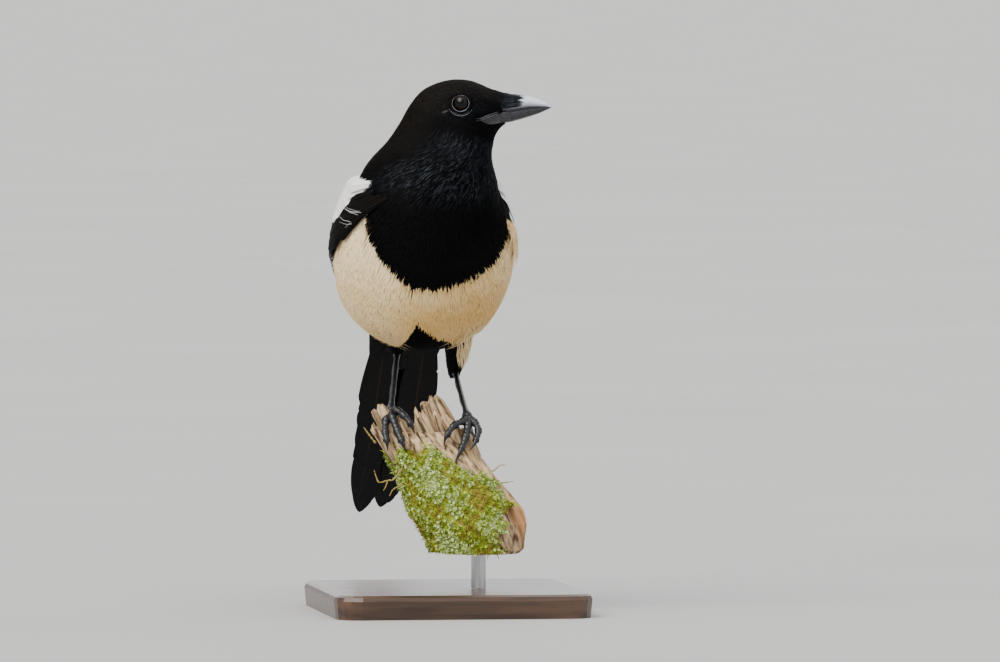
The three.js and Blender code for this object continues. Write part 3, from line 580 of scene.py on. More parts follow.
def clear_of_bare_skin(points, reach=1.0):
    forward, height, leftward = head_coordinates(points)
    away = np.hypot((forward - EYE_PLACE[0]), (height - EYE_PLACE[1]) / 0.94)
    upper, lower = columns_at(GAPE, forward)
    gape = (forward > GAPE[0, 0]) & (height < upper - 0.2) & (height > lower + 0.5)
    return ((away > LID_RADIUS + reach) | (np.abs(leftward) < 9)) & ~gape


def coat_lengths(place, angle):
    """Length, width and how far the tips stand out, in mm."""
    front = 1 - ease(np.abs(angle % 360 - 180), 60, 130)
    body = ease(place, 2.0, 4) * (1 - ease(place, 9, 12))
    length = 3.0 + 7.5 * body + 3.0 * ease(place, 9, 11) * (1 - ease(place, 13, 15.5))
    length = length - 1.0 * ease(place, 17.5, 19.5)
    # Strands that start just ahead of an edge are short, so that they keep it in its place.
    for edge, low, high, cut in ((edge_place(BIB_EDGE, angle % 360) + BIB_OVERHANG, 0.3, 1.1, 0.6),
                                 (edge_place(VENT_EDGE, angle % 360), 0.2, 0.8, 0.35)):
        ahead = np.where(place > edge - 0.05, 1 - ease(place - edge, low, high), 0.0)
        length = length * (1 - cut * front * ahead)
    width = 0.42 + 0.28 * body
    proud = 0.15 + 0.3 * body + 0.2 * front * ease(place, 11, 12.5) * (1 - ease(place, 14, 15))
    return length, width, proud


def lay_strands(place, angle, wider, loose):
    """Strands that follow the lie of the coat, from the bill back and down to the tail."""
    n = len(place)
    length, width, proud = coat_lengths(place, angle)
    length = length * rng.uniform(0.75, 1.2, n)
    width = width * wider * rng.uniform(0.8, 1.2, n)
    # Neighbours in one feather share a slant, so that the coat parts a little between them.
    slant = 7 * np.sin(place * 9.0 + 3 * np.sin(np.radians(angle) * 7)) \
        + rng.normal(0, 5, n)
    slant = slant * loose
    depth = coat_depth(place, angle)
    t = np.linspace(0, 1, STRAND_STEPS)[None]
    back = (length / place_step(place, angle))[:, None] * t
    _, half, side, _, _ = form(place)
    turn = np.degrees(length * np.sin(np.radians(slant)) / (0.5 * (half + side)))[:, None]
    turn = turn * t ** 1.5
    stand = proud * (1 + loose * rng.uniform(-0.8, 0.6, n))
    lift = -depth[:, None] + (depth + stand)[:, None] * (1 - (1 - t) ** 1.8)
    where = np.clip(place[:, None] - back, -0.4, LAST)
    centre = skin(where, angle[:, None] + turn, lift)
    return centre, width


def coat_piece(name, slot, place, angle, soft, wider=1.0, loose=1.0):
    normal = skin_normal(place, angle)
    centre, width = lay_strands(place, angle, wider, loose)
    clear = clear_of_bare_skin(centre).all(axis=1)
    centre, width, normal, place, angle = (
        v[clear] for v in (centre, width, normal, place, angle))
    fuzz = rng.normal(0, 0.03, len(place))
    points, faces, fields, _ = strands(centre, normal, width, bake_place(place, angle),
                                       **markings(place + fuzz, angle),
                                       tone=rng.random(len(place)))
    # The shading leans towards the body's own, as fine barbs scatter light softly.
    a, b, c = (points[faces[:, k]] for k in range(3))
    flat = unit(np.cross(b - a, c - a))
    own = np.zeros_like(points)
    for k in range(3):
        np.add.at(own, faces[:, k], flat)
    body = np.repeat(normal, len(points) // len(place), axis=0)
    own = unit(own)
    own = np.where(np.sum(own * body, -1, keepdims=True) < 0, -own, own)
    build(name, [(points, faces, fields)], PLUMAGE, slot,
          normals=unit(soft * body + (1 - soft) * own))


def from_back(angle):
    """Degrees from the middle of the back, either way."""
    return np.abs((angle + 180) % 360 - 180)


def under_side(place, angle):
    return np.abs(angle % 360 - 180) < 92


def back_side(place, angle):
    """The back, without the part that the wings hide."""
    near = from_back(angle)
    under_wing = (near > 30) & (near < 82) & (place < 9.5) & (place > 4.5)
    return ~under_side(place, angle) & ~under_wing


def all_round(place, angle):
    return np.full(angle.shape, True)


COAT = [
    # name, slot, from place, to place, spacing in mm, part of the body, softness and more
    ("belly", "cream_plumage", 3.0, 9.2, 0.82, under_side,
     {"soft": 1.0, "loose": 0.15, "wider": 1.25}),
    ("breast", "black_plumage", 9.2, 12.6, 0.74, under_side, {"soft": 0.6}),
    ("back", "black_plumage", 2.2, 12.6, 1.05, back_side, {"soft": 0.6}),
    ("neck", "black_plumage", 12.6, 15.2, 0.56, all_round, {"soft": 0.55, "wider": 0.7}),
    ("head", "black_plumage", 15.2, 19.9, 0.43, all_round, {"soft": 0.6}),
]


def make_coat():
    for name, slot, low, high, spacing, keep, how in COAT:
        place, angle = scatter(low, high, spacing, keep)
        coat_piece(f"coat_{name}", slot, place, angle, **how)


# Loose pale feathers: place, angle from the middle of the back, how far each group spreads,
# length, slant towards the back, height of the tips, width, count on the right, on the left
WISPS = [
    (9.7, 112, 0.15, 4, 7, 26, 4.6, 0.14, 4, 0), (9.2, 108, 0.15, 4, 6, 20, 4.6, 0.14, 3, 0),
    (6.9, 92, 0.4, 5, 11, 2, 1.2, 0.2, 9, 4), (5.9, 152, 0.4, 7, 12, 0, 1.0, 0.24, 60, 60),
    (6.1, 142, 0.3, 5, 13, 0, 1.0, 0.24, 30, 30), (5.4, 130, 0.3, 8, 9, 0, 0.5, 0.24, 0, 40),
    (8.75, 101, 0.22, 3, 9, 2, 2.6, 0.5, 0, 150), (8.2, 100, 0.3, 3, 10, 0, 2.2, 0.5, 0, 150),
]


def make_wisps():
    parts = []
    for place, near, spread, turn, length, slant, tip, width, right, left in WISPS:
        for side, n in ((-1, right), (1, left)):
            if not n:
                continue
            at = place + rng.normal(0, spread * 0.5, n)
            angle = side * (near + rng.normal(0, turn * 0.5, n))
            t = np.linspace(0, 1, 6)[None]
            reach = length * rng.uniform(0.6, 1.15, n)
            back = (reach / place_step(at, angle))[:, None] * t
            lean = -side * (slant + rng.normal(0, 7, n))[:, None] * t ** 1.3
            lift = 0.3 + (tip * rng.uniform(0.8, 1.15, n))[:, None] * ease(t, 0, 0.35)
            centre = skin(np.clip(at[:, None] - back, 0, LAST), angle[:, None] + lean, lift)
            fine = width < 0.2
            parts.append(strands(
                centre, skin_normal(at, angle), width * rng.uniform(0.75, 1.25, n),
                bake_place(at, angle), white=1.0 if near < 95 or fine else 0.0,
                tone=rng.random(n) * 0.5, dark=0.3 if fine else 0.0,
                gloss=0.0, brown=0.0, warm=0.5)[:3])
    build("coat_wisps", parts, PLUMAGE, "cream_plumage")


def make_thigh_coat():
    """Black feathers of the thighs, with loose pale ones of the left flank over them."""
    def layer(side, draw, share, angle, reach, turn, lift, width, left_part, **values):
        centre = thigh(side, share[:, None] + reach, angle[:, None] + turn, lift)
        normal = unit(thigh(side, share, angle, 1.0) - thigh(side, share, angle, 0.0))
        roots = np.stack([0.02 + 0.4 * left_part + 0.36 * (angle % 360) / 360,
                          0.86 + 0.1 * share], -1)
        n = len(share)
        return strands(centre, normal, draw.uniform(*width, n), roots, brown=0.0, white=0.0,
                       tone=draw.random(n), **values)[:3]

    parts = []
    t = np.linspace(0, 1, 4)[None]
    for side in SIDES:
        n = THIGH_STRANDS
        share = rng.uniform(0.05, 0.98, n)
        angle = rng.uniform(0, 360, n)
        reach = (mix(6.0, 3.6, share) / THIGH_LENGTH)[:, None] * t
        lift = -1.0 + (1.3 + 0.4 * rng.random(n))[:, None] * (1 - (1 - t) ** 1.6)
        # gloss 0.25 paints a bluish-grey sheen into some of the black thigh strands: painted
        # sheen.
        parts.append(layer(side, rng, share, angle, reach, rng.normal(0, 5, (n, 1)) * t, lift,
                           (0.6, 1.0), SIDES[side] > 0, dark=1.0, gloss=0.25, warm=0.0))
    # Pale feathers of the left flank hang over the outer side of that thigh, as a fringe.
    draw, n = np.random.default_rng(5), FRINGE_STRANDS
    share, angle = draw.uniform(0.25, 0.6, n), draw.uniform(-95, 40, n)
    t = np.linspace(0, 1, 5)[None]
    reach = (draw.uniform(6.5, 11.5, n) / THIGH_LENGTH)[:, None] * t
    lift = -0.4 + (1.6 + 0.9 * draw.random(n))[:, None] * (1 - (1 - t) ** 1.5)
    parts.append(layer("left", draw, share, angle, reach, (8 + draw.normal(0, 9, (n, 1))) * t,
                       lift, (0.35, 0.6), True, dark=0.0, gloss=0.0, warm=0.35))
    build("coat_thighs", parts, PLUMAGE, "black_plumage")


# Vanes of wing and tail
def vane(centre, normal, width, columns=7, camber=0.10, lean=0.0, seed=0.0, ends=None):
    """One feather's vane: centre (rows, 3), normal (rows, 3), half width from its outline.
    Its two webs slope away from the shaft, and its edge splits here and there."""
    rows = len(centre)
    across, upward = crossways(unit(np.gradient(centre, axis=0)), normal)
    share = np.linspace(0, 1, rows)
    belly, root, blunt, power = ends or (0.6, 0.4, 3.2, 0.5)
    end = np.clip((share - belly) / (1 - belly), 0, 1)
    swell = np.where(share < belly, mix(root, 1, ease(share, 0, belly)),
                     np.maximum(0.0, 1.0 - end ** blunt) ** power)
    local = np.random.default_rng(int(seed * 1000) % 100000)
    web = np.broadcast_to(np.linspace(-1, 1, columns), (rows, columns)).copy()
    for edge in (0, -1):
        nick = (local.random(rows) < 0.05) & (share > 0.25) & (share < 0.97)
        web[nick, edge] *= local.uniform(0.86, 0.96, nick.sum())
    half = (width / 2) * swell[:, None]
    offset = web * half
    drop = camber * half * web ** 2 * 2 + lean * offset
    ripple = 0.05 * np.sin(share[:, None] * 40 + web * 3 + seed * 9) * np.abs(web)
    webs = centre[:, None] + across[:, None] * offset[..., None] \
        - upward[:, None] * (drop + ripple)[..., None]
    # The shaft stands up from the vane as a low ridge.
    thick = mix(0.5, 0.12, share)[:, None]
    shaft = np.stack([centre - across * thick, centre + upward * thick * 0.9,
                      centre + across * thick], 1)
    length = np.concatenate([[0], np.cumsum(np.linalg.norm(np.diff(centre, axis=0), axis=1))])
    return (np.concatenate([webs.reshape(-1, 3), shaft.reshape(-1, 3)]),
            np.concatenate([grid_faces(rows, columns), grid_faces(rows, 3) + rows * columns]),
            {"across": np.concatenate([web.ravel(), np.zeros(rows * 3)]),
             "along": np.concatenate([np.repeat(length, columns), np.repeat(length, 3)]),
             "tone": np.repeat([(seed * 7.31) % 1.0, 0.5], [rows * columns, rows * 3])})


def vanes_piece(name, vanes, material, slot, replaced):
    """Joins vanes into one piece; each has its own cell of the bake map."""
    cells = math.ceil(math.sqrt(len(vanes)))
    for n, (_, _, fields) in enumerate(vanes):
        corner = np.array([n % cells, n // cells]) / cells
        spread = np.stack([(fields["across"] + 1) / 2,
                           fields["along"] / (fields["along"].max() + 1e-6)], -1)
        fields["uv"] = corner + (0.06 + 0.88 * spread) / cells
    build(name, vanes, material, slot, replaced)


WING_EDGE = np.array([
    # place, angle of the upper edge, angle of the lower edge
    [-0.1, 36, 52], [1, 26, 66], [2.2, 21, 72], [3, 19, 74], [4, 18, 76], [6, 25, 80],
    [8, 42, 96], [9.4, 58, 109], [10.8, 83, 122],
])
WRIST_PLACE = 10.2
WING_LENGTH = 188.0
WING_RAISE = 11.0                # the left wing sits this many degrees higher in front
WING_TUCK = 0.5                  # and lies this much closer to the body there


def wing_angle(place, share):
    upper, lower = columns_at(WING_EDGE, place)
    return mix(upper, lower, share)


def wing_places():
    """Distance behind the wrist, in mm, and the place it falls on."""
    place = np.linspace(12.0, -0.4, 1200)
    middle = form(place)[0]
    run = np.concatenate([[0], np.cumsum(np.linalg.norm(np.diff(middle, axis=0), axis=1))])
    wrist = np.interp(-WRIST_PLACE, -place, run)
    return run - wrist, place


WING_RUN, WING_RUN_PLACE = wing_places()


def place_at(distance):
    return np.interp(distance, WING_RUN, WING_RUN_PLACE)


def wing_vane(side, root, tip, width, rows=16, tilt=0.1, seed=0.0, **shape):
    """root and tip are [distance behind the wrist, share of the way down the wing, lift]."""
    t = 1 - (1 - np.linspace(0, 1, rows)) ** 1.3
    place = place_at(mix(root[0], tip[0], t))
    near = wing_angle(place, mix(root[1], tip[1], ease(t, -0.3, 1.1)))
    angle = side * (near - (WING_RAISE if side > 0 else 0) * ease(place, 6, 8.5))
    tucked = 1 - (WING_TUCK if side > 0 else 0) * ease(place, 7, 8.5)
    centre = skin(place, angle, mix(root[2], tip[2], ease(t, 0, 0.6)) * tucked)
    return vane(centre, skin_normal(place, angle), width, lean=side * tilt, seed=seed, **shape)


WING_TIERS = [
    # count, uppermost [root, tip, share, lift], lowest, aim, root lift, width, tilt, gloss
    (8, [48, 150, 0.66, 2.5], [40, 188, 0.95, 0.9], 0.75, 1.4, 9.5, 0.10, False),   # primaries
    (9, [42, 100, 0.10, 1.9], [42, 140, 0.76, 3.0], 0.95, 1.6, 12.5, 0.12, True),   # secondaries
    # greater coverts, primary coverts, median coverts
    (10, [30, 60, 0.12, 2.8], [28, 68, 0.95, 2.8], 1, 1.9, 9.5, 0.12, True),
    (5, [30, 66, 0.78, 2.4], [26, 72, 1.0, 1.6], 1, 1.4, 6.5, 0.12, False),
    (10, [14, 40, 0.10, 3.2], [12, 42, 0.92, 3.2], 1, 1.9, 9.0, 0.12, False),
]


def make_wings():
    for name, side in SIDES.items():
        dull, glossy = [], []
        for tier, (count, first, last, aim, low, width, tilt, gloss) in enumerate(WING_TIERS):
            for k in range(count):
                s = k / (count - 1)
                start, end, share, lift = (mix(a, b, s) for a, b in zip(first, last))
                end = min(WING_LENGTH, end + rng.uniform(-1.5, 1.5))
                (glossy if gloss else dull).append(wing_vane(
                    side, [start, share, low],
                    [end, mix(0.5, share, aim), lift + 0.12 * (k % 2)],
                    width, rows=26 if end - start > 50 else 14, tilt=tilt,
                    seed=tier + s * 0.9 + 0.3 * (side > 0)))
        # Lesser coverts, which leave the upper front of the wing to the shoulder feathers
        for row in range(6):
            for k in range(13):
                s = (k + 0.5 * (row % 2)) / 12.5
                start = -2.5 + row * 4.2 + rng.uniform(-1, 1)
                share = mix(-0.02, 1.02, s) + rng.uniform(-0.02, 0.02)
                if share >= 0.55 - 0.1 * row:
                    dull.append(wing_vane(
                        side, [start, share, 0.6 + 0.2 * row],
                        [start + rng.uniform(11, 15), share,
                         2.4 + 0.15 * row + 0.3 * rng.random()],
                        rng.uniform(5.4, 7.0), rows=8, tilt=0.12, seed=row + s, columns=5))
        vanes_piece(f"wing_{name}_black", dull, BLACK_VANE, "gloss_plumage", f"wing_{name}")
        vanes_piece(f"wing_{name}_gloss", glossy, GLOSS_VANE, "gloss_plumage", f"wing_{name}")


SCAPULARS = {"root": (10.7, 9.6), "tip": (7.9, 5.4), "angle": (91, 33)}


def make_scapulars():
    """White shoulder feathers in three tiers."""
    for name, side in SIDES.items():
        parts = []
        for tier, count in enumerate((5, 7, 8)):
            for k in range(count):
                u = k / (count - 1)
                start = mix(*SCAPULARS["root"], u) - 0.3 + 0.15 * tier
                end = mix(*SCAPULARS["tip"], u) + 0.8 * tier + rng.uniform(-0.12, 0.12)
                t = 1 - (1 - np.linspace(0, 1, 14)) ** 1.2
                place = mix(start, end, t)
                angle = side * mix(*SCAPULARS["angle"], u) * mix(1, 0.78, t)
                lift = mix(-0.4, 4.3 + 0.3 * tier, ease(t, 0, 0.4))
                parts.append(vane(skin(place, angle, lift), skin_normal(place, angle),
                                  12.0 - 1.3 * tier, lean=side * 0.06,
                                  seed=tier + u + 0.4 * (side > 0)))
        vanes_piece(f"scapulars_{name}_white", parts, WHITE_VANE, "white_plumage",
                    f"scapulars_{name}")


TAIL_ROOT = np.array([0, 57, 174.0])
TAIL_DROP = math.radians(34.5)
TAIL_ALONG = np.array([0, math.cos(TAIL_DROP), -math.sin(TAIL_DROP)])
TAIL_UP = np.array([0, math.sin(TAIL_DROP), math.cos(TAIL_DROP)])
TAIL_LENGTH = 238.0
RECTRICES = [
    # share of the full length, offset of the shaft, width
    (1, 5.5, 19), (0.95, 8.7, 16.6), (0.865, 9.3, 17.6), (0.765, 9.9, 18.8),
    (0.655, 10.5, 20), (0.535, 11.1, 21.2),
]


def on_tail(along, across, height):
    sway = TAIL_SWAY * np.sin(np.pi * np.minimum(1, along / 300))
    return TAIL_ROOT + along[..., None] * TAIL_ALONG + height[..., None] * TAIL_UP \
        + (across + sway)[..., None] * np.array([1.0, 0, 0])


def make_tail():
    parts = []
    for pair, (share, offset, width) in enumerate(RECTRICES):
        for side in (-1, 1):
            short = 0.965 if pair == 0 and side > 0 else 1.0
            reach = TAIL_LENGTH * share * short * (1 + rng.uniform(-0.008, 0.008))
            t = 1 - (1 - np.linspace(0, 1, 60)) ** 1.25
            height = 2.4 - 0.9 * (pair + (1 if pair or side > 0 else 0))
            lift = height + 0.5 * (1 - ease(t, 0, 0.2)) * pair / 3
            centre = on_tail(mix(4, reach, t), side * offset * mix(0.5, 1, ease(t, 0, 0.35)),
                             lift + 0 * t)
            parts.append(vane(centre, np.tile(TAIL_UP, (60, 1)), width, columns=9, camber=0.035,
                              seed=pair + 0.35 * side + 0.5, ends=(0.74, 0.4, 1.5, 0.85)))
    vanes_piece("tail_feathers", parts, TAIL_VANE, "gloss_plumage", "tail")


TAIL_COVERTS = {
    # rows, per row, spread, longest, height at the root, at the tip, width, row step, side
    "coverts_over_tail": (4, 7, 8, 58, 7.0, 4.2, 9.0, 0.14, 1),
    "coverts_under_tail": (5, 7, 10, 78, -9.2, -4.2, 9.5, 0.15, -1),
}


def make_tail_coverts():
    for name, (rows, count, spread, longest, high, low, width, step, side) in TAIL_COVERTS.items():
        parts = []
        for row in range(rows):
            for k in range(count):
                share = (k / (count - 1)) * 2 - 1
                start = 3 + row * longest * step
                reach = longest * mix(0.55, 1, row / (rows - 1)) * (1 - 0.3 * share * share)
                t = np.linspace(0, 1, 14)
                along = mix(start, reach + rng.uniform(-2, 2), t)
                height = mix(high, low, ease(along, 0, longest)) + 0.25 * (k % 2) * side
                centre = on_tail(along, share * spread * mix(0.85, 1.2, t), height)
                parts.append(vane(centre, np.tile(TAIL_UP * side, (14, 1)),
                                  width * mix(0.8, 1, row / rows), seed=row + share * 0.4 + 0.7,
                                  camber=0.16, ends=(0.55, 0.5, 3.2, 0.5)))
        vanes_piece(f"{name}_feathers", parts, BLACK_VANE, "gloss_plumage", name)


# Head: eyes, lids, bristles and bill
def head_side_surface():
    """The skin of the head seen from its sides: forward, height and leftward of many points."""
    place, angle = grid(np.arange(14.6, 20.01, 0.06), np.arange(0, 360, 2.0))
    return head_coordinates(skin(place, angle).reshape(-1, 3))


HEAD_SURFACE = head_side_surface()


def beside_head(forward, height, side, lift=0.0):
    """The point on one side of the head at this forward and height."""
    forward, height = np.broadcast_arrays(np.asarray(forward, float), np.asarray(height, float))
    u, z, left = HEAD_SURFACE
    own = left * side > 0
    u, z, left = u[own], z[own], np.abs(left[own])
    out = np.empty(forward.shape)
    for n, (f, h) in enumerate(zip(forward.ravel(), height.ravel())):
        away = np.hypot(u - f, z - h)
        near = np.argsort(away)[:5]
        weight = 1 / (away[near] + 0.05)
        out.ravel()[n] = np.sum(left[near] * weight) / weight.sum()
    return on_head(forward, height, side * (out + lift))


def eye_look():
    look = Look("eye", specular_ior_level=0.1, coat_weight=0.24, coat_roughness=0.03)
    radial = look.field("radial")
    spokes = look.noise(1500, detail=2)
    iris = look.mix(look.ramp(spokes, 0.3, 0.7), (0.003, 0.002, 0.0015), (0.008, 0.004, 0.003))
    colour = look.mix(look.ramp(radial, 0.36, 0.42), (0.001, 0.001, 0.001), iris)
    colour = look.mix(look.ramp(radial, 0.72, 0.86), colour, (0.002, 0.002, 0.002))
    look.colour(colour)
    look.roughness(look.ramp(radial, 0.7, 1.2, 0.08, 0.3))
    look.bump(spokes, 0.00003, 0.1)
    return look.material


def bare_skin_look(name, colour, light, roughness=0.5, specular=0.15):
    """Wrinkled skin of lids, and the like for dead moss."""
    look = Look(name, specular_ior_level=specular)
    grain = look.noise(2500, detail=3)
    look.colour(look.mix(look.ramp(grain, 0.35, 0.7), colour, light))
    look.roughness(roughness)
    look.bump(grain, 0.0001, 0.5)
    return look.material


def make_eyes():
    """The ball bulges a little more over the iris, as a cornea does."""
    eye = eye_look()
    up = np.array([0, 0, 1.0])
    polar, turn = grid(np.linspace(0.001, math.pi, 40), circle(48))
    radius = EYE_RADIUS + 0.35 * np.exp(-(polar / 0.55) ** 2) - 0.1
    for name, side in SIDES.items():
        out = axes(HEAD_YAW)[1] * side
        points = on_head(*EYE_PLACE, side * EYE_DEPTH) + radius[..., None] * (
            np.cos(polar)[..., None] * out
            + (np.sin(polar) * np.cos(turn))[..., None] * np.cross(up, out)
            + (np.sin(polar) * np.sin(turn))[..., None] * up)
        build(f"eyeball_{name}", [ring_loft(points, radial=polar)], eye, "eye", f"eye_{name}")


def lid_curve(side, radius, start, stop, steps, lift, oval=0.94):
    turn = np.radians(np.linspace(start, stop, steps))
    forward = EYE_PLACE[0] + radius * np.cos(turn)
    height = EYE_PLACE[1] + radius * oval * np.sin(turn)
    return beside_head(forward, height, side, lift)


def closed_tube(curve, radius, sides, up):
    """A ring-shaped tube from a curve whose ends meet."""
    curve = curve[:-1]
    across, upward = crossways(unit(np.roll(curve, -1, 0) - np.roll(curve, 1, 0)), up)
    turn = circle(sides)[:, None]
    rings = curve[:, None] + radius[:, None, None] * (across[:, None] * np.cos(turn)
                                                      + upward[:, None] * np.sin(turn))
    rings = np.concatenate([rings, rings[:1]])
    return rings.reshape(-1, 3), grid_faces(len(rings), sides, wrap=True), {}


def make_lids():
    """A dark lid, a beaded pale rim with two folds below it, and a dull spot behind the eye.
    The pale colour of the rim and folds is a painted highlight along the lid's edge.
    """
    dark = bare_skin_look("lid_skin", (0.0012, 0.0012, 0.0014), (0.004, 0.004, 0.005), 0.75, 0.05)
    # Painted highlight: the rim and folds are coloured pale to stand for light on the lid's edge.
    pale = bare_skin_look("lid_rim_painted_highlight", (0.09, 0.095, 0.11), (0.28, 0.29, 0.32))
    dull = bare_skin_look("cheek_spot", (0.012, 0.012, 0.014), (0.07, 0.072, 0.08), 0.8, 0.05)
    steps = 97
    around = np.arange(steps - 1) * 2 * np.pi / (steps - 1)
    for name, side in SIDES.items():
        out = axes(HEAD_YAW)[1] * side
        ring = lid_curve(side, LID_RADIUS + 0.55, 0, 360, steps, 0.75)
        bead = 0.62 + 0.05 * np.sin(np.arange(steps - 1) * 2 * np.pi * 24 / (steps - 1))
        build(f"lid_{name}", [closed_tube(ring, bead, 10, out)], dark, "black_plumage")
        rim = lid_curve(side, LID_RADIUS - 0.15, 0, 360, steps, 1.35)
        share = np.sin(np.radians(np.linspace(0, 360, steps))[:-1])
        bead = 0.105 + 0.03 * np.sin(around * 32) + 0.03 * np.sin(around * 5 + 1) - 0.05 * share
        parts = [closed_tube(rim, bead, 8, out)]
        for radius, start, stop, thick in ((6.9, 206, 330, 0.14), (6.15, 222, 318, 0.08)):
            fold = lid_curve(side, radius, start, stop, 40, 0.35, oval=0.98)
            t = np.linspace(0, 1, 40)
            thickness = thick * np.sin(np.pi * np.clip(t, 0.03, 0.97)) ** 0.5 \
                * (1 + 0.35 * np.sin(t * 60 + radius))
            parts.append(ring_loft(tube_rings(fold, thickness, 8, up=out)))
        turn = np.linspace(0, 2 * np.pi, 24)
        forward, height = EYE_PLACE[0] - 8.6, EYE_PLACE[1] - 4.6
        spot = beside_head(forward + 1.9 * np.cos(turn),
                           height + 0.5 * np.cos(turn) + 0.85 * np.sin(turn), side, 0.1)
        middle = beside_head([forward], [height], side, 0.35)[0]
        spot = np.stack([spot, mix(spot, middle, 0.5), mix(spot, middle, 0.95)])
        build(f"cheek_spot_{name}", [ring_loft(spot)], dull, "black_plumage")
        build(f"lid_rim_painted_highlight_{name}", parts, pale, "black_plumage")


BILL = np.array([
    # forward, top, mouth line, bottom, half width
    [38.6, 280.7, 270.6, 264.9, 7.0], [39.2, 280.6, 270.8, 264.9, 6.9],
    [43, 280, 271.4, 265.5, 6.3], [48, 279.6, 272.3, 266.9, 5.4],
    [53, 278.9, 273.1, 268.4, 4.5], [58, 277.4, 273.4, 270.1, 3.4],
    [62, 275.6, 273.5, 271.9, 2.2], [64, 274.4, 273.3, 272.9, 1.1],
])
BILL_TIP = 64.6
BROW = np.array([
    # forward, top of the forehead and bill, half width
    [31, 283.4, 12.0], [38.5, 280.9, 7.6], [43, 280, 6.3], [48, 279.6, 5.4],
    [53, 278.9, 4.5], [58, 277.4, 3.4],
])


def bill_look():
    look = Look("bill_horn", specular_ior_level=0.35, coat_weight=0.12, coat_roughness=0.2)
    high = look.field("high")
    grain = look.noise(450, stretch=(1, 1, 5), detail=4)
    slate = look.mix(look.ramp(grain, 0.35, 0.7), (0.024, 0.026, 0.032), (0.050, 0.052, 0.062))
    brown = look.mix(look.ramp(grain, 0.4, 0.7), (0.010, 0.0095, 0.0098), (0.025, 0.0235, 0.024))
    # Painted shade: the colour turns darker brown towards the underside of the bill.
    colour = look.mix(look.ramp(high, -1.0, -0.1), brown, slate)
    # Painted reflection: the top of the upper mandible is painted pale lavender, as if lit from
    # above.
    colour = look.mix(look.ramp(high, 0.1, 0.6, 0, 0.95), colour, (0.62, 0.63, 0.72))
    look.colour(colour)
    look.roughness(look.ramp(grain, 0.2, 0.8, 0.22, 0.36))
    look.bump(grain, 0.0002, 0.35)
    return look.material


def make_bill():
    horn = bill_look()
    u = np.concatenate([np.linspace(38.6, 60, 44), np.linspace(60.4, BILL_TIP, 14)])
    top, mouth, bottom, half = columns_at(BILL, u)
    tip = ease(u, 62.5, BILL_TIP)
    top = mix(top, 273.4, tip * 0.9)
    half = mix(half, 0.35, tip)
    turn = np.radians(np.linspace(-90, 90, 25))
    arch = np.cos(turn) ** 0.85
    edge = -0.25 * np.exp(-((np.abs(turn) - 1.5) / 0.25) ** 2)
    upper, lower = [], []
    for f, t, m, b, h in zip(u, top, mouth, bottom, half):
        z = m + 0.12 + np.maximum(t - m, 0.3) * arch + edge
        x = h * np.sign(np.sin(turn)) * np.abs(np.sin(turn)) ** 0.92
        floor_x = x[::-1] * 0.8
        upper.append(np.concatenate([on_head(f, z, x), on_head(f, 0 * z + m + 0.25, floor_x)]))
        z = m - 0.12 - np.maximum(m - b, 0.15) * arch
        x = 0.93 * x
        lower.append(np.concatenate([on_head(f, z, x), on_head(f, 0 * z + m - 0.2, x[::-1])]))
    for name, rings, sign in (("bill_upper", upper, 1), ("bill_lower", lower, -1)):
        # high runs from the underside (-1) to the ridge (+1). The horn look paints shade low on it
        # and a reflection high on it.
        high = np.tile(np.concatenate([sign * arch, 0 * arch]), (len(u), 1))
        build(f"{name}_horn", [ring_loft(np.array(rings), high=high)], horn, "horn", name)
    make_gape(horn)


GAPE = np.array([
    # forward, upper edge, lower edge of the bare base of the lower mandible
    [27.8, 267.1, 266.9], [29.6, 267.7, 265.4], [31.6, 268.4, 264.2], [33, 268.9, 264.1],
    [36.8, 270.1, 264.8], [40, 270.9, 265.4], [43.4, 271.2, 265.9],
])


MOUTH_FOLD = np.array([[25.5, 266.6], [29, 267.1], [31.5, 268.3], [36.8, 270.2], [40, 271]])


def beside_bill(forward, height, side, lift):
    """A point on the side of the head or, further on, on the side of the bill."""
    width = np.interp(forward, [36.8, 39, 40, 43.4], [8.4, 7.9, 7.5, 5.75])
    width = width + lift * ease(-forward, -43.4, -40)
    return mix(beside_head(forward, height, side, lift),
               on_head(forward, height, side * width), ease(forward, 36.8, 39)[..., None])


def make_gape(horn):
    """The bare base of the lower mandible and the thin folds at the corner of the mouth."""
    parts = []
    for side in (-1, 1):
        forward = np.linspace(GAPE[0, 0], GAPE[-1, 0], 28)
        upper, lower = columns_at(GAPE, forward)
        share = np.linspace(0, 1, 9)[None]
        bulge = 0.1 + 0.6 * np.sqrt(np.sin(np.pi * np.clip(share, 0.02, 0.98))) \
            * ease(forward, 27.8, 33)[:, None]
        height = mix(upper[:, None], lower[:, None], share)
        forward = np.broadcast_to(forward[:, None], height.shape)
        outer = beside_bill(forward, height, side, bulge + 0 * height)
        inner = beside_bill(forward, height, side, 0 * height - 0.6)
        base = ring_loft(np.concatenate([outer, inner[:, ::-1]], 1))
        # The bare base sits low on high, so it takes the darker colour painted as shade on the
        # bill's underside.
        parts.append((*base[:2], {"high": -0.75}))
        for drop, thick in ((-0.5, 0.2), (0.55, 0.16)):
            u = np.linspace(25.6 + abs(drop) * 1.2, 38, 24)
            z = np.interp(u, *MOUTH_FOLD.T) - drop
            round_ends = np.sin(np.pi * np.clip(np.linspace(0, 1, 24), 0.04, 0.96)) ** 0.6
            fold = ring_loft(tube_rings(beside_bill(u, z, side, 0.75), thick * round_ends, 8))
            parts.append((*fold[:2], {"high": 0.12}))
    build("gape", parts, horn, "horn")


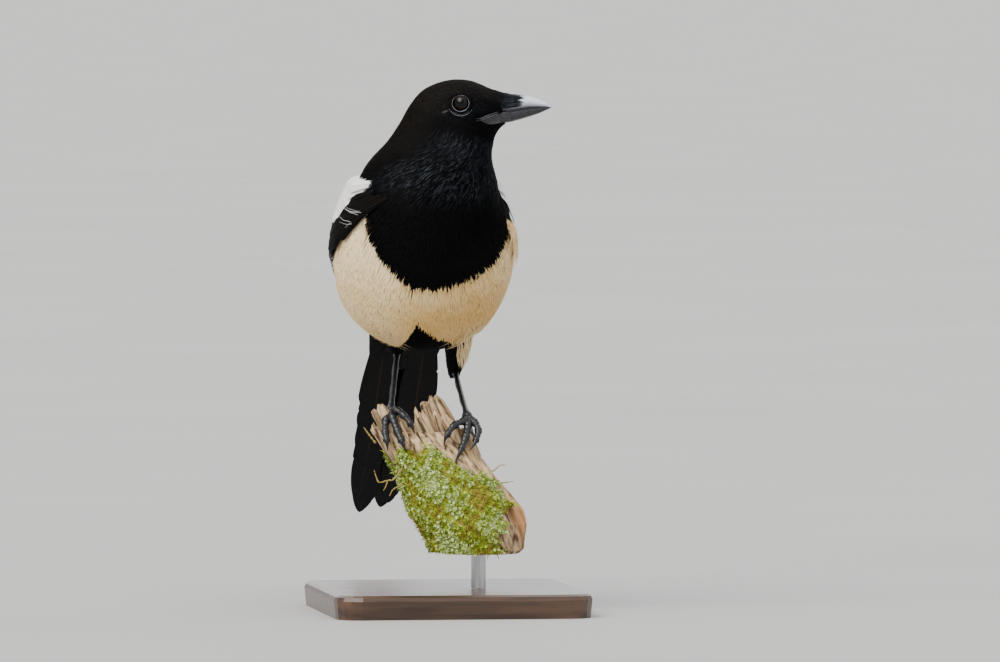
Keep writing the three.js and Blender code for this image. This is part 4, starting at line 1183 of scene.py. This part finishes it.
def make_bristles():
    """Stiff feathers from the forehead that lie forward over the nostrils."""
    n = BRISTLES
    side = rng.choice([-1, 1], n)
    start_u = rng.uniform(31.0, 42.5, n)
    high = rng.uniform(0.02, 1.0, n)
    length = rng.uniform(5.0, 11.0, n) * mix(0.75, 1.0, high)
    t = np.linspace(0, 1, 5)[None]
    u = start_u[:, None] + length[:, None] * t
    top, half = columns_at(BROW, u)
    mouth = np.interp(u, BILL[:, 0], BILL[:, 2])
    z = mix(mouth + 1.6, top + 0.15, high[:, None] ** 0.9) \
        + 0.4 * np.sin(t * 5 + rng.uniform(0, 6, (n, 1))) * t
    share = np.clip((z - mouth) / (top - mouth), 0, 1)
    reach = half * np.sqrt(np.clip(1 - share ** 2.4, 0.0, 1)) + 0.25 \
        + 0.6 * t * rng.random((n, 1)) + 0.45 * ease(-u, -40, -36)
    centre = on_head(u, z, side[:, None] * reach)
    outward = unit(np.stack([0 * high, high * 0.8, side * (1.1 - high)], -1))
    normal = unit(axes(HEAD_YAW)[1] * outward[:, 2:] + np.array([0, 0, 1.0]) * outward[:, 1:2])
    width, tone = rng.uniform(0.2, 0.36, n), rng.random(n)
    roots = np.stack([0.3 + 0.4 * rng.random(n), 0.84 + 0.02 * high], -1)
    # Painted sheen: gloss makes the bristles grey towards their tips, more on those that start
    # further forward.
    points, faces, fields, rows = strands(centre, normal, width, roots, dark=1.0, brown=0.0,
                                          white=0.0, warm=0.0, tone=0.45 + 0.6 * tone,
                                          gloss=ease(start_u, 30.5, 38))
    fields["gloss"] = fields["gloss"] * ease(rows, 0.2, 0.9)
    build("bristles", [(points, faces, fields)], PLUMAGE, "black_plumage")


# Legs: points in the bird's frame
LEGS = {
    "right": {
        "ankle": [-10.4, 31, 141], "foot": [-18.3, -2, 109.6],
        "outer": [[-21.8, -8, 104.3], [-22.9, -13.5, 98], [-22.6, -17, 93.6], [-21.8, -16.5, 88]],
        "middle": [[-18.3, -9, 105.6], [-16.4, -15, 98.6], [-14.8, -19.5, 93.6],
                   [-11.6, -19, 86.8]],
        "inner": [[-15.4, -7, 109.3], [-12.6, -12, 107], [-9.2, -15.5, 102.4],
                  [-7.4, -16.5, 97.2]],
        "hind": [[-17.6, 5, 104.5], [-16.6, 10.5, 100], [-16, 13, 95.5], [-15.6, 11.5, 89]],
    },
    "left": {
        "ankle": [21.2, 34, 130], "foot": [22.9, -4, 106.4],
        "outer": [[26.2, -9, 103], [27.8, -13, 98.6], [25.8, -17, 93.3], [22, -18.5, 88.2]],
        "middle": [[22.6, -9.5, 101.8], [20.6, -15, 95.2], [17.6, -19.5, 89], [14, -20.5, 81.5]],
        "inner": [[20.4, -9, 103.8], [14.6, -13.5, 101.6], [10.2, -17, 96.6], [8.6, -17, 91]],
        "hind": [[24.6, 3, 101], [26.4, 8.5, 95.5], [26.6, 10.5, 90.5], [25.4, 9, 84.5]],
    },
}
TOES = {"outer": 2.0, "middle": 2.15, "inner": 1.95, "hind": 2.1}
TARSUS_RADIUS = 1.55


def leg_look(name, base, light, roughness):
    look = Look(name, specular_ior_level=0.45, coat_weight=0.1, coat_roughness=0.25)
    grain = look.noise(1400, detail=3)
    look.colour(look.mix(look.ramp(grain, 0.35, 0.75), base, light))
    look.roughness(look.ramp(grain, 0.2, 0.8, roughness - 0.06, roughness + 0.1))
    look.bump(grain, 0.00012, 0.5)
    return look.material


def scute_rings(curve, radius, scutes, sides, depth=0.24):
    """Plates overlap along the upper side of a toe or shank; the under side has soft pads."""
    steps = len(curve)
    share = np.linspace(0, 1, steps)[:, None]
    turn = circle(sides)[None]
    over = ease(np.sin(turn), -0.25, 0.35)
    saw = (share * scutes) % 1.0
    plate = depth * (1 - saw) ** 0.8 * (1 - np.exp(-saw * 14)) * 1.3
    pad = 0.14 * np.cos(2 * np.pi * share * 3) * (1 - over) \
        + 0.05 * np.sin(turn * 9) * np.sin(share * scutes * 12) * (1 - over)
    return np.asarray(radius)[:, None] * (1 + plate * over * 0.8 + pad) - 0.06


def make_legs():
    scaly = leg_look("leg_scutes", (0.003, 0.0032, 0.004), (0.012, 0.0135, 0.017), 0.36)
    claw_horn = leg_look("claw_horn", (0.003, 0.003, 0.0035), (0.008, 0.008, 0.009), 0.28)
    for name, leg in LEGS.items():
        ankle, foot = np.array(leg["ankle"], float), np.array(leg["foot"], float)
        middle = mix(ankle, foot, 0.5) + np.array([0, 0.6, -0.4])
        curve = spline([ankle, middle, foot], 110)
        t = np.linspace(0, 1, 110)
        radius = mix(2.3, TARSUS_RADIUS, ease(t, 0, 0.18)) + 0.55 * ease(t, 0.8, 1)
        shank = tube_rings(curve, scute_rings(curve, radius, 9, 22, depth=0.07), 22,
                           up=(0, -1, 0.3))
        build(f"shank_{name}", [ring_loft(shank)], scaly, "leg_skin", f"tarsus_{name}")
        parts = []
        for toe, thick in TOES.items():
            line = spline([leg["foot"], *leg[toe][:3]], 90)
            t = np.linspace(0, 1, 90)
            radius = thick * (1.03 - 0.2 * t) * (1 + 0.08 * np.cos(2 * np.pi * 3 * t))
            scutes, up = (8, (0, 1, 0.8)) if toe == "hind" else (10, (0, -1, 0.8))
            parts.append(ring_loft(tube_rings(line, scute_rings(line, radius, scutes, 20), 20,
                                              up=up)))
        polar, turn = grid(np.linspace(0.05, math.pi - 0.05, 16), circle(24))
        knuckle = foot + 2.8 * np.stack([
            np.sin(polar) * np.cos(turn), 1.1 * np.sin(polar) * np.sin(turn), np.cos(polar)], -1) \
            * (1 + 0.03 * np.sin(polar * 16) + 0.02 * np.sin(turn * 9))[..., None]
        parts.append(ring_loft(knuckle))
        build(f"toes_{name}", parts, scaly, "leg_skin", f"foot_{name}")
        for toe, thick in TOES.items():
            before, base, tip = (np.array(p, float) for p in leg[toe][1:])
            along = unit(base - before)
            start = base - along * 0.2
            bend = start + along * 0.42 * np.linalg.norm(tip - start)
            t = np.linspace(0, 1, 30)[:, None]
            line = (1 - t) ** 2 * start + 2 * t * (1 - t) * bend + t ** 2 * tip
            claw = tube_rings(line, mix(thick * 0.72, 0.12, t[:, 0] ** 0.85), 16, flat=1.15)
            build(f"talon_{name}_{toe}", [ring_loft(claw)], claw_horn, "horn",
                  f"claw_{name}_{toe}")


# Perch: levels of the branch, and the splinters of its broken end
PERCH = np.array([
    # height, right, left, front, back
    [32.35, 6, 53, -29, 19], [40, 3, 54, -31, 21], [48, -2, 55, -32, 22],
    [56, -7, 53, -31, 21], [66, -10, 45, -29, 20], [75, -13, 37, -26, 18],
    [84, -19, 30, -21, 16], [92, -22, 23.5, -17, 13], [98, -23.5, 17, -13, 10],
])
SPLINTERS = [
    # root, tip, width, thickness
    ([-9, -3, 80], [-25.5, -4, 112], 13.5, 10), ([-14, -7, 80], [-28.5, -8, 101], 7, 5),
    ([-2, 2, 80], [-16, 4, 108.5], 12.5, 10), ([1, -7, 78], [-12.5, -8, 105.5], 10, 7),
    ([8, -8, 76], [-6, -10, 105.5], 10, 7), ([8, -3, 78], [-3, -4, 110], 11, 9),
    ([22, 1, 76], [3.5, 1, 116], 18.5, 13), ([24, -5, 74], [8.5, -5, 110], 14.5, 12),
    ([28, -5, 72], [17.5, -7, 100.5], 13, 13), ([30, 3, 72], [22, 4, 98.5], 11, 11),
]


GRAIN_LEAN = 0.43                # the grain leans this far from upright, in radians
SLIVERS = 24
MOSS_STRANDS = 24000             # drawn; those off the moss are left out
LICHEN_FLAKES = 11000            # likewise


def wood_look():
    look = Look("weathered_wood", specular_ior_level=0.25)
    fibre = look.noise(420, detail=6, vector=look.position((1, 1, 0.09), GRAIN_LEAN))
    patch = look.noise(38, detail=3, vector=look.position((1, 1, 0.5), GRAIN_LEAN))
    fine = look.noise(1500, detail=3, vector=look.position((1, 1, 0.07), GRAIN_LEAN))
    grey = look.mix(look.ramp(fibre, 0.36, 0.6), (0.065, 0.036, 0.018), (0.64, 0.46, 0.27))
    warm = look.mix(look.ramp(fibre, 0.34, 0.62), (0.10, 0.05, 0.02), (0.66, 0.44, 0.22))
    colour = look.mix(look.ramp(patch, 0.54, 0.68), grey, warm)
    # Painted shade: cracks and grooves are painted dark brown.
    colour = look.mix(look.math("MULTIPLY", look.field("crack"), 0.85), colour,
                      (0.035, 0.02, 0.012))
    colour = look.mix(look.math("MULTIPLY", look.field("orange"), 0.8), colour,
                      (0.52, 0.22, 0.075))
    colour = look.mix(look.ramp(fine, 0.55, 0.8, 0, 0.35), colour, (0.06, 0.035, 0.02))
    look.colour(colour)
    look.roughness(look.ramp(fibre, 0.2, 0.8, 0.95, 0.75))
    look.bump(look.math("ADD", fibre, look.math("MULTIPLY", fine, 0.4)), 0.0006, 0.7)
    return look.material


def perch_surface(height, turn, lift=0.0):
    low, high, front, back = columns_at(PERCH, height)
    x = mix(low, high, 0.5 + 0.5 * np.cos(turn)) + lift * np.cos(turn)
    y = mix(front, back, 0.5 + 0.5 * np.sin(turn)) + lift * np.sin(turn)
    return np.stack([x, y, height + 0 * x], -1)


def ridges(turn, height, seed=0.0):
    """Long ridges and cracks of split wood; also says where a crack is, for the shade painted into
    it.
    """
    wave = 0.0
    for n, (rate, size) in enumerate(((7, 0.9), (13, 0.7), (23, 0.5), (41, 0.32), (67, 0.2))):
        drift = 1.3 * np.sin(height * 0.03 * (n + 1) + seed + n) / (n + 1)
        wave = wave + size * np.sin(rate * turn + drift * 3 + n * 1.7 + seed)
    crack = np.exp(-(np.sin(9 * turn + 0.4 * np.sin(height * 0.06) + seed) / 0.10) ** 2)
    crack = crack * (0.5 + 0.5 * np.sin(height * 0.11 + turn * 5 + seed))
    return wave - 2.0 * crack, np.clip(crack, 0, 1)


def orange_part(points):
    """Fresh orange wood shows low on the left side of the perch."""
    x, z = points[..., 0], points[..., 2]
    return ease(x - 0.45 * (66 - z), 34, 46) * ease(80 - z, 8, 30)


def make_perch(wood):
    height, turn = grid(np.linspace(32.35, 98, 150), circle(360))
    wave, crack = ridges(turn, height)
    inset = -1.2 * (1 - ease(height, 32.35, 34.5))
    base = perch_surface(height, turn, wave * 0.8 * ease(height, 32, 36) + inset - 0.6)
    crack = np.concatenate([crack[:1] * 0, crack, crack[-1:]]).ravel()
    points, faces, _ = ring_loft(base)
    parts = [(points, faces, {"crack": crack, "orange": orange_part(points)})]
    slabs = [(np.array(root, float), np.array(tip, float), wide, thick)
             for root, tip, wide, thick in SPLINTERS]
    for n, slab in enumerate(slabs):
        parts.append(splinter(*slab, n))
    # Thin slivers stand between the splinters.
    for n in range(SLIVERS):
        root, tip, wide, thick = slabs[n % len(slabs)]
        shift = np.array([rng.uniform(-0.6, 0.6) * wide, rng.uniform(-0.6, 0.6) * thick, 0])
        reach = mix(root, tip, rng.uniform(0.55, 0.86)) + shift + rng.normal(0, 0.8, 3)
        parts.append(splinter(root + shift * 0.9, reach, rng.uniform(1.4, 3.2),
                              rng.uniform(1.0, 2.4), n + 20, rows=14, sides=10))
    build("perch_wood", parts, wood, "weathered_wood", "perch")


def splinter(root, tip, wide, thick, seed, rows=40, sides=56):
    """A torn slab of wood: square in section, ridged by its fibres, which end at odd heights."""
    local = np.random.default_rng(300 + seed)
    t = np.linspace(0, 1, rows)[:, None]
    turn = circle(sides)[None]
    size = np.interp(t, [0, 0.5, 0.85, 0.96, 1], [1.0, 0.95, 0.80, 0.66, 0.44])
    spin = turn + local.uniform(-0.3, 0.3)
    square = 0.95 / (np.abs(np.cos(spin)) ** 3.2 + np.abs(np.sin(spin)) ** 3.2) ** (1 / 3.2)
    fibre = local.normal(0, 0.045, sides)
    fibre = (fibre + 0.5 * np.roll(fibre, 1))[None] * (0.6 + 0.4 * np.sin(t * 7 + turn * 4))
    groove = np.exp(-(np.sin(2.5 * turn + local.uniform(0, 6) + 0.25 * np.sin(t * 5)) / 0.12) ** 2)
    radius = (square + fibre - 0.24 * groove) * size
    ends = np.repeat(local.uniform(-0.16, 0.02, sides), 4)[None, :sides]
    ends = ends + 0.06 * np.sin(turn + local.uniform(0, 6))
    rise = (tip[2] - root[2]) * t * (1 + ends * t ** 5)
    at = root + (tip - root) * t
    x = at[:, :1] + wide / 2 * radius * np.cos(turn)
    y = at[:, 1:2] + thick / 2 * radius * np.sin(turn)
    # The grooves get painted shade through the crack field.
    points, faces, fields = ring_loft(np.stack([x, y, root[2] + rise], -1), crack=groove * 0.8)
    return points, faces, {**fields, "orange": 0.0}


def moss_look():
    """Moss and lichen: its tone runs from brown-green through green to pale grey-green."""
    look = Look("moss", specular_ior_level=0.2)
    kind, tone = look.field("kind"), look.field("tone")
    green = look.mix(tone, (0.09, 0.14, 0.010), (0.54, 0.66, 0.05))
    olive = look.mix(tone, (0.10, 0.07, 0.012), (0.48, 0.40, 0.06))
    lichen = look.mix(tone, (0.24, 0.34, 0.07), (0.70, 0.82, 0.35))
    colour = look.mix(look.ramp(kind, 0.25, 0.45), olive, green)
    colour = look.mix(look.ramp(kind, 0.6, 0.75), colour, lichen)
    look.colour(look.mix(look.ramp(look.noise(700), 0.4, 0.8, 0, 0.35), colour,
                         (0.03, 0.03, 0.01)))
    look.roughness(0.85)
    look.bump(look.noise(1800), 0.0003, 0.6)
    return look.material


def moss_cover(height, turn):
    """How thick the moss grows: low on the branch, least along its left edge."""
    at = perch_surface(height, turn)
    x, y = at[..., 0], at[..., 2]
    edge = 85 + 5 * np.sin(turn * 3 + 1) + 3 * np.sin(turn * 7) - 0.12 * x
    low = 1 - ease(y, edge - 6, edge + 2)
    edge_x = columns_at(PERCH, height)[1]
    wide = mix(9, 20, ease(y, 66, 44)) + 2.5 * np.sin(y * 0.5) + 2 * np.sin(y * 1.1 + turn * 6)
    strip = ease(x - edge_x + wide, 0, 4)
    lump = 0.5 + 0.5 * np.sin(turn * 6 + height * 0.21) * np.sin(turn * 4 - height * 0.16 + 2)
    return np.clip(low - strip, 0, 1) * (0.35 + 0.65 * lump)


def moss_kind(height, turn):
    """Which growth covers a spot: brown moss below 0.35, green up to 0.65, then lichen."""
    a = np.sin(turn * 5 + height * 0.16 + 0.6) + 0.8 * np.sin(turn * 9 - height * 0.27 + 2.2)
    b = np.sin(turn * 17 + height * 0.61) + np.sin(turn * 26 - height * 0.93 + 1)
    broad = np.sin(turn * 2 + height * 0.07 + 3.6) * np.sin(turn * 3 - height * 0.11)
    return np.clip(0.52 + 0.14 * a + 0.11 * b + 0.2 * broad, 0, 1)


def make_moss():
    """A lumpy bed, with fronds of moss and crinkled flakes of lichen on it."""
    moss = moss_look()
    height, turn = grid(np.linspace(33, 97, 120), circle(260))
    cover = moss_cover(height, turn)
    lumps = 0.9 * np.abs(np.sin(turn * 31 + height * 0.7)) \
        * np.abs(np.sin(height * 0.9 - turn * 17))
    lift = np.where(cover > 0.12, -0.2 + 2.2 * cover + lumps, -3.0)
    bed = ring_loft(perch_surface(height, turn, lift), kind=moss_kind(height, turn),
                    tone=0.25 + 0.3 * cover)
    leaves = [moss_strands(), lichen_flakes()]
    build("moss_bed", [bed], moss, "weathered_wood")
    build("moss_fronds", leaves, moss, "weathered_wood")


def perch_normal(height, turn):
    return perch_surface(height, turn, 3.0) - perch_surface(height, turn, 0.0)


def moss_strands():
    n = MOSS_STRANDS
    height, turn = rng.uniform(33, 96, n), rng.uniform(0, 2 * np.pi, n)
    cover = moss_cover(height, turn)
    chosen = rng.random(n) < cover * 1.5
    height, turn, cover = height[chosen], turn[chosen], cover[chosen]
    n = len(height)
    root = perch_surface(height, turn, 1.6 * cover)
    out = unit(perch_normal(height, turn))
    lean = unit(out + rng.normal(0, 0.55, (n, 3)) + np.array([0, 0, 0.35]))
    length = rng.uniform(1.2, 2.8, n)[:, None, None]
    t = np.linspace(0, 1, 4)[None, :, None]
    curl = rng.normal(0, 0.45, (n, 1, 3))
    centre = root[:, None] + lean[:, None] * length * t + curl * length * t ** 2
    normal = unit(np.cross(lean, rng.normal(0, 1, (n, 3))))
    points, faces, fields, rows = strands(
        centre, normal, rng.uniform(0.35, 0.8, n),
        kind=moss_kind(height, turn) + rng.normal(0, 0.14, n), tone=rng.uniform(0.1, 0.75, n))
    fields["tone"] = np.clip(fields["tone"] + rows * 0.3, 0, 1)
    return points, faces, fields


def lichen_flakes():
    n, count = LICHEN_FLAKES, 8
    height, turn = rng.uniform(33, 95, n), rng.uniform(0, 2 * np.pi, n)
    pale = ease(moss_kind(height, turn), 0.35, 0.65)
    chosen = rng.random(n) < moss_cover(height, turn) * pale * 1.6
    height, turn = height[chosen], turn[chosen]
    n = len(height)
    out = unit(perch_normal(height, turn) + rng.normal(0, 0.35, (n, 3)))
    root = perch_surface(height, turn, 0) + out * rng.uniform(1.8, 3.8, n)[:, None]
    across, upward = crossways(out, rng.normal(0, 1, (n, 3)))
    spin = circle(count)[None]
    radius = rng.uniform(0.4, 0.95, n)[:, None] \
        * (1 + 0.28 * np.sin(spin * 3 + rng.uniform(0, 6, (n, 1))))
    rim = root[:, None] + across[:, None] * (radius * np.cos(spin))[..., None] \
        + upward[:, None] * (radius * np.sin(spin))[..., None] \
        + out[:, None] * (0.45 * np.sin(spin * 2 + rng.uniform(0, 6, (n, 1))))[..., None]
    points = np.concatenate([rim, (root - out * 0.5)[:, None]], 1).reshape(-1, 3)
    one = np.array([[k, (k + 1) % count, count] for k in range(count)])
    faces = (one[None] + (np.arange(n) * (count + 1))[:, None, None]).reshape(-1, 3)
    return points, faces, {"kind": np.repeat(rng.uniform(0.5, 1, n), count + 1),
                           "tone": np.repeat(rng.uniform(0.2, 1, n), count + 1)}


# Tendrils of dead moss that stick out: points, thickness
TENDRILS = [
    ([[-14, -17, 79], [-19, -18, 73], [-22, -18, 72.5], [-27, -18, 71.5], [-29, -18, 76]], 0.55),
    ([[-22, -18, 72.5], [-23.5, -18, 68.5], [-24.5, -18, 67]], 0.4),
    ([[-27, -18, 71.5], [-28, -18, 73.5], [-29.5, -18, 78]], 0.4),
    ([[33, -8, 76], [37, -8, 77], [40, -8, 79.5], [43.5, -8, 80]], 0.5),
    ([[40, -8, 70], [44, -8, 70.5], [48, -8, 71]], 0.45),
    ([[-27, -6, 92], [-31, -6, 97], [-33.5, -6, 100.5]], 0.6),
    ([[-14, -16, 70], [-19, -17, 67.5], [-21, -17, 64]], 0.45),
]


def make_tendrils():
    look = bare_skin_look("dead_moss", (0.22, 0.15, 0.045), (0.46, 0.36, 0.13), 0.8)
    parts = []
    t = np.linspace(0, 1, 40)
    for n, (points, thick) in enumerate(TENDRILS):
        radius = thick * (1 - 0.6 * t) * (1 + 0.25 * np.sin(t * 34 + n) + 0.15 * np.sin(t * 71))
        parts.append(ring_loft(tube_rings(spline(points, 40), radius, 8, up=(0, 1, 0.2))))
    build("tendrils", parts, look, "weathered_wood")


def dress_stand():
    """The base and rod keep their CAD shape and get their finish here."""
    look = Look("plinth_wood", specular_ior_level=0.4, coat_weight=0.4, coat_roughness=0.18)
    fibre = look.noise(160, stretch=(0.08, 1, 1), detail=6)
    pore = look.noise(900, stretch=(0.05, 1, 1), detail=2)
    colour = look.mix(look.ramp(fibre, 0.3, 0.7), (0.030, 0.014, 0.007), (0.105, 0.052, 0.026))
    look.colour(look.mix(look.ramp(pore, 0.6, 0.75, 0, 0.6), colour, (0.015, 0.008, 0.004)))
    look.roughness(look.ramp(fibre, 0.2, 0.8, 0.32, 0.48))
    look.bump(pore, 0.0002, 0.3)
    steel = Look("rod_steel", metallic=1.0)
    brushed = steel.noise(900, stretch=(1, 1, 0.03), detail=3)
    steel.colour(steel.mix(steel.ramp(brushed, 0.3, 0.7), (0.38, 0.38, 0.39), (0.62, 0.62, 0.63)))
    steel.roughness(steel.ramp(brushed, 0.2, 0.8, 0.2, 0.38))
    steel.bump(brushed, 0.00005, 0.3)
    for name, finish in (("stand_base", look), ("stand_rod", steel)):
        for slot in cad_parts[name].material_slots:
            slot.material = finish.material


# Stage: pale floor, soft light, camera
TARGET = Vector((0.02664, -0.01571, 0.1522))
AZIMUTH, ELEVATION = math.radians(-8.0), math.radians(2.0)
CAMERA_DISTANCE = 6.0


def sun(name, place, spread, strength, colour=(1, 1, 1)):
    """Soft light from far away, so that the floor is evenly lit; spread in degrees."""
    light = bpy.data.lights.new(name, "SUN")
    light.angle, light.energy, light.color = math.radians(spread), strength, colour
    obj = bpy.data.objects.new(name, light)
    bpy.context.scene.collection.objects.link(obj)
    obj.rotation_mode = "QUATERNION"
    obj.rotation_quaternion = (-Vector(place)).to_track_quat("-Z", "Y")


def make_stage():
    look = Look("floor", specular_ior_level=0.1)
    look.colour(look.mix(look.ramp(look.noise(3), 0.3, 0.7), (0.41, 0.41, 0.406),
                         (0.435, 0.435, 0.431)))
    look.roughness(0.9)
    turn = circle(96)
    rings = np.stack([np.stack([r * np.cos(turn), r * np.sin(turn), 0 * turn], -1)
                      for r in (0.01, 1.0, 400.0)])
    mesh = bpy.data.meshes.new("floor")
    faces = grid_faces(3, 96, wrap=True).tolist() + [list(range(96))[::-1]]
    mesh.from_pydata(rings.reshape(-1, 3).tolist(), [], faces)
    mesh.materials.append(look.material)
    obj = bpy.data.objects.new("floor", mesh)
    bpy.context.scene.collection.objects.link(obj)
    world = bpy.data.worlds.new("studio")
    bpy.context.scene.world = world
    world.use_nodes = True
    shade = world.node_tree.nodes["Background"]
    shade.inputs["Color"].default_value = (0.80, 0.82, 0.86, 1)
    shade.inputs["Strength"].default_value = 0.85
    sun("key", (-1.5, -1.7, 2.1), 46, 4.0, (1.0, 0.965, 0.90))
    sun("fill", (2.2, -1.6, 0.9), 70, 0.5, (0.93, 0.96, 1.0))
    sun("top", (0.1, 0.2, 2.4), 90, 1.4)
    sun("back", (0.6, 2.4, 1.5), 60, 0.8)


def make_camera():
    data = bpy.data.cameras.new("camera")
    data.lens, data.sensor_width = 400, 36
    data.clip_start, data.clip_end = 0.1, 1000
    camera = bpy.data.objects.new("camera", data)
    bpy.context.scene.collection.objects.link(camera)
    back = Vector((math.sin(AZIMUTH) * math.cos(ELEVATION),
                   -math.cos(AZIMUTH) * math.cos(ELEVATION), math.sin(ELEVATION)))
    camera.location = TARGET + back * CAMERA_DISTANCE
    camera.rotation_mode = "QUATERNION"
    camera.rotation_quaternion = (-back).to_track_quat("-Z", "Y")
    bpy.context.scene.camera = camera


make_camera()
make_stage()
make_skin()
make_coat()
make_thigh_coat()
make_wisps()
make_wings()
make_scapulars()
make_tail()
make_tail_coverts()
make_eyes()
make_lids()
make_bill()
make_bristles()
make_legs()
make_perch(wood_look())
make_moss()
make_tendrils()
dress_stand()
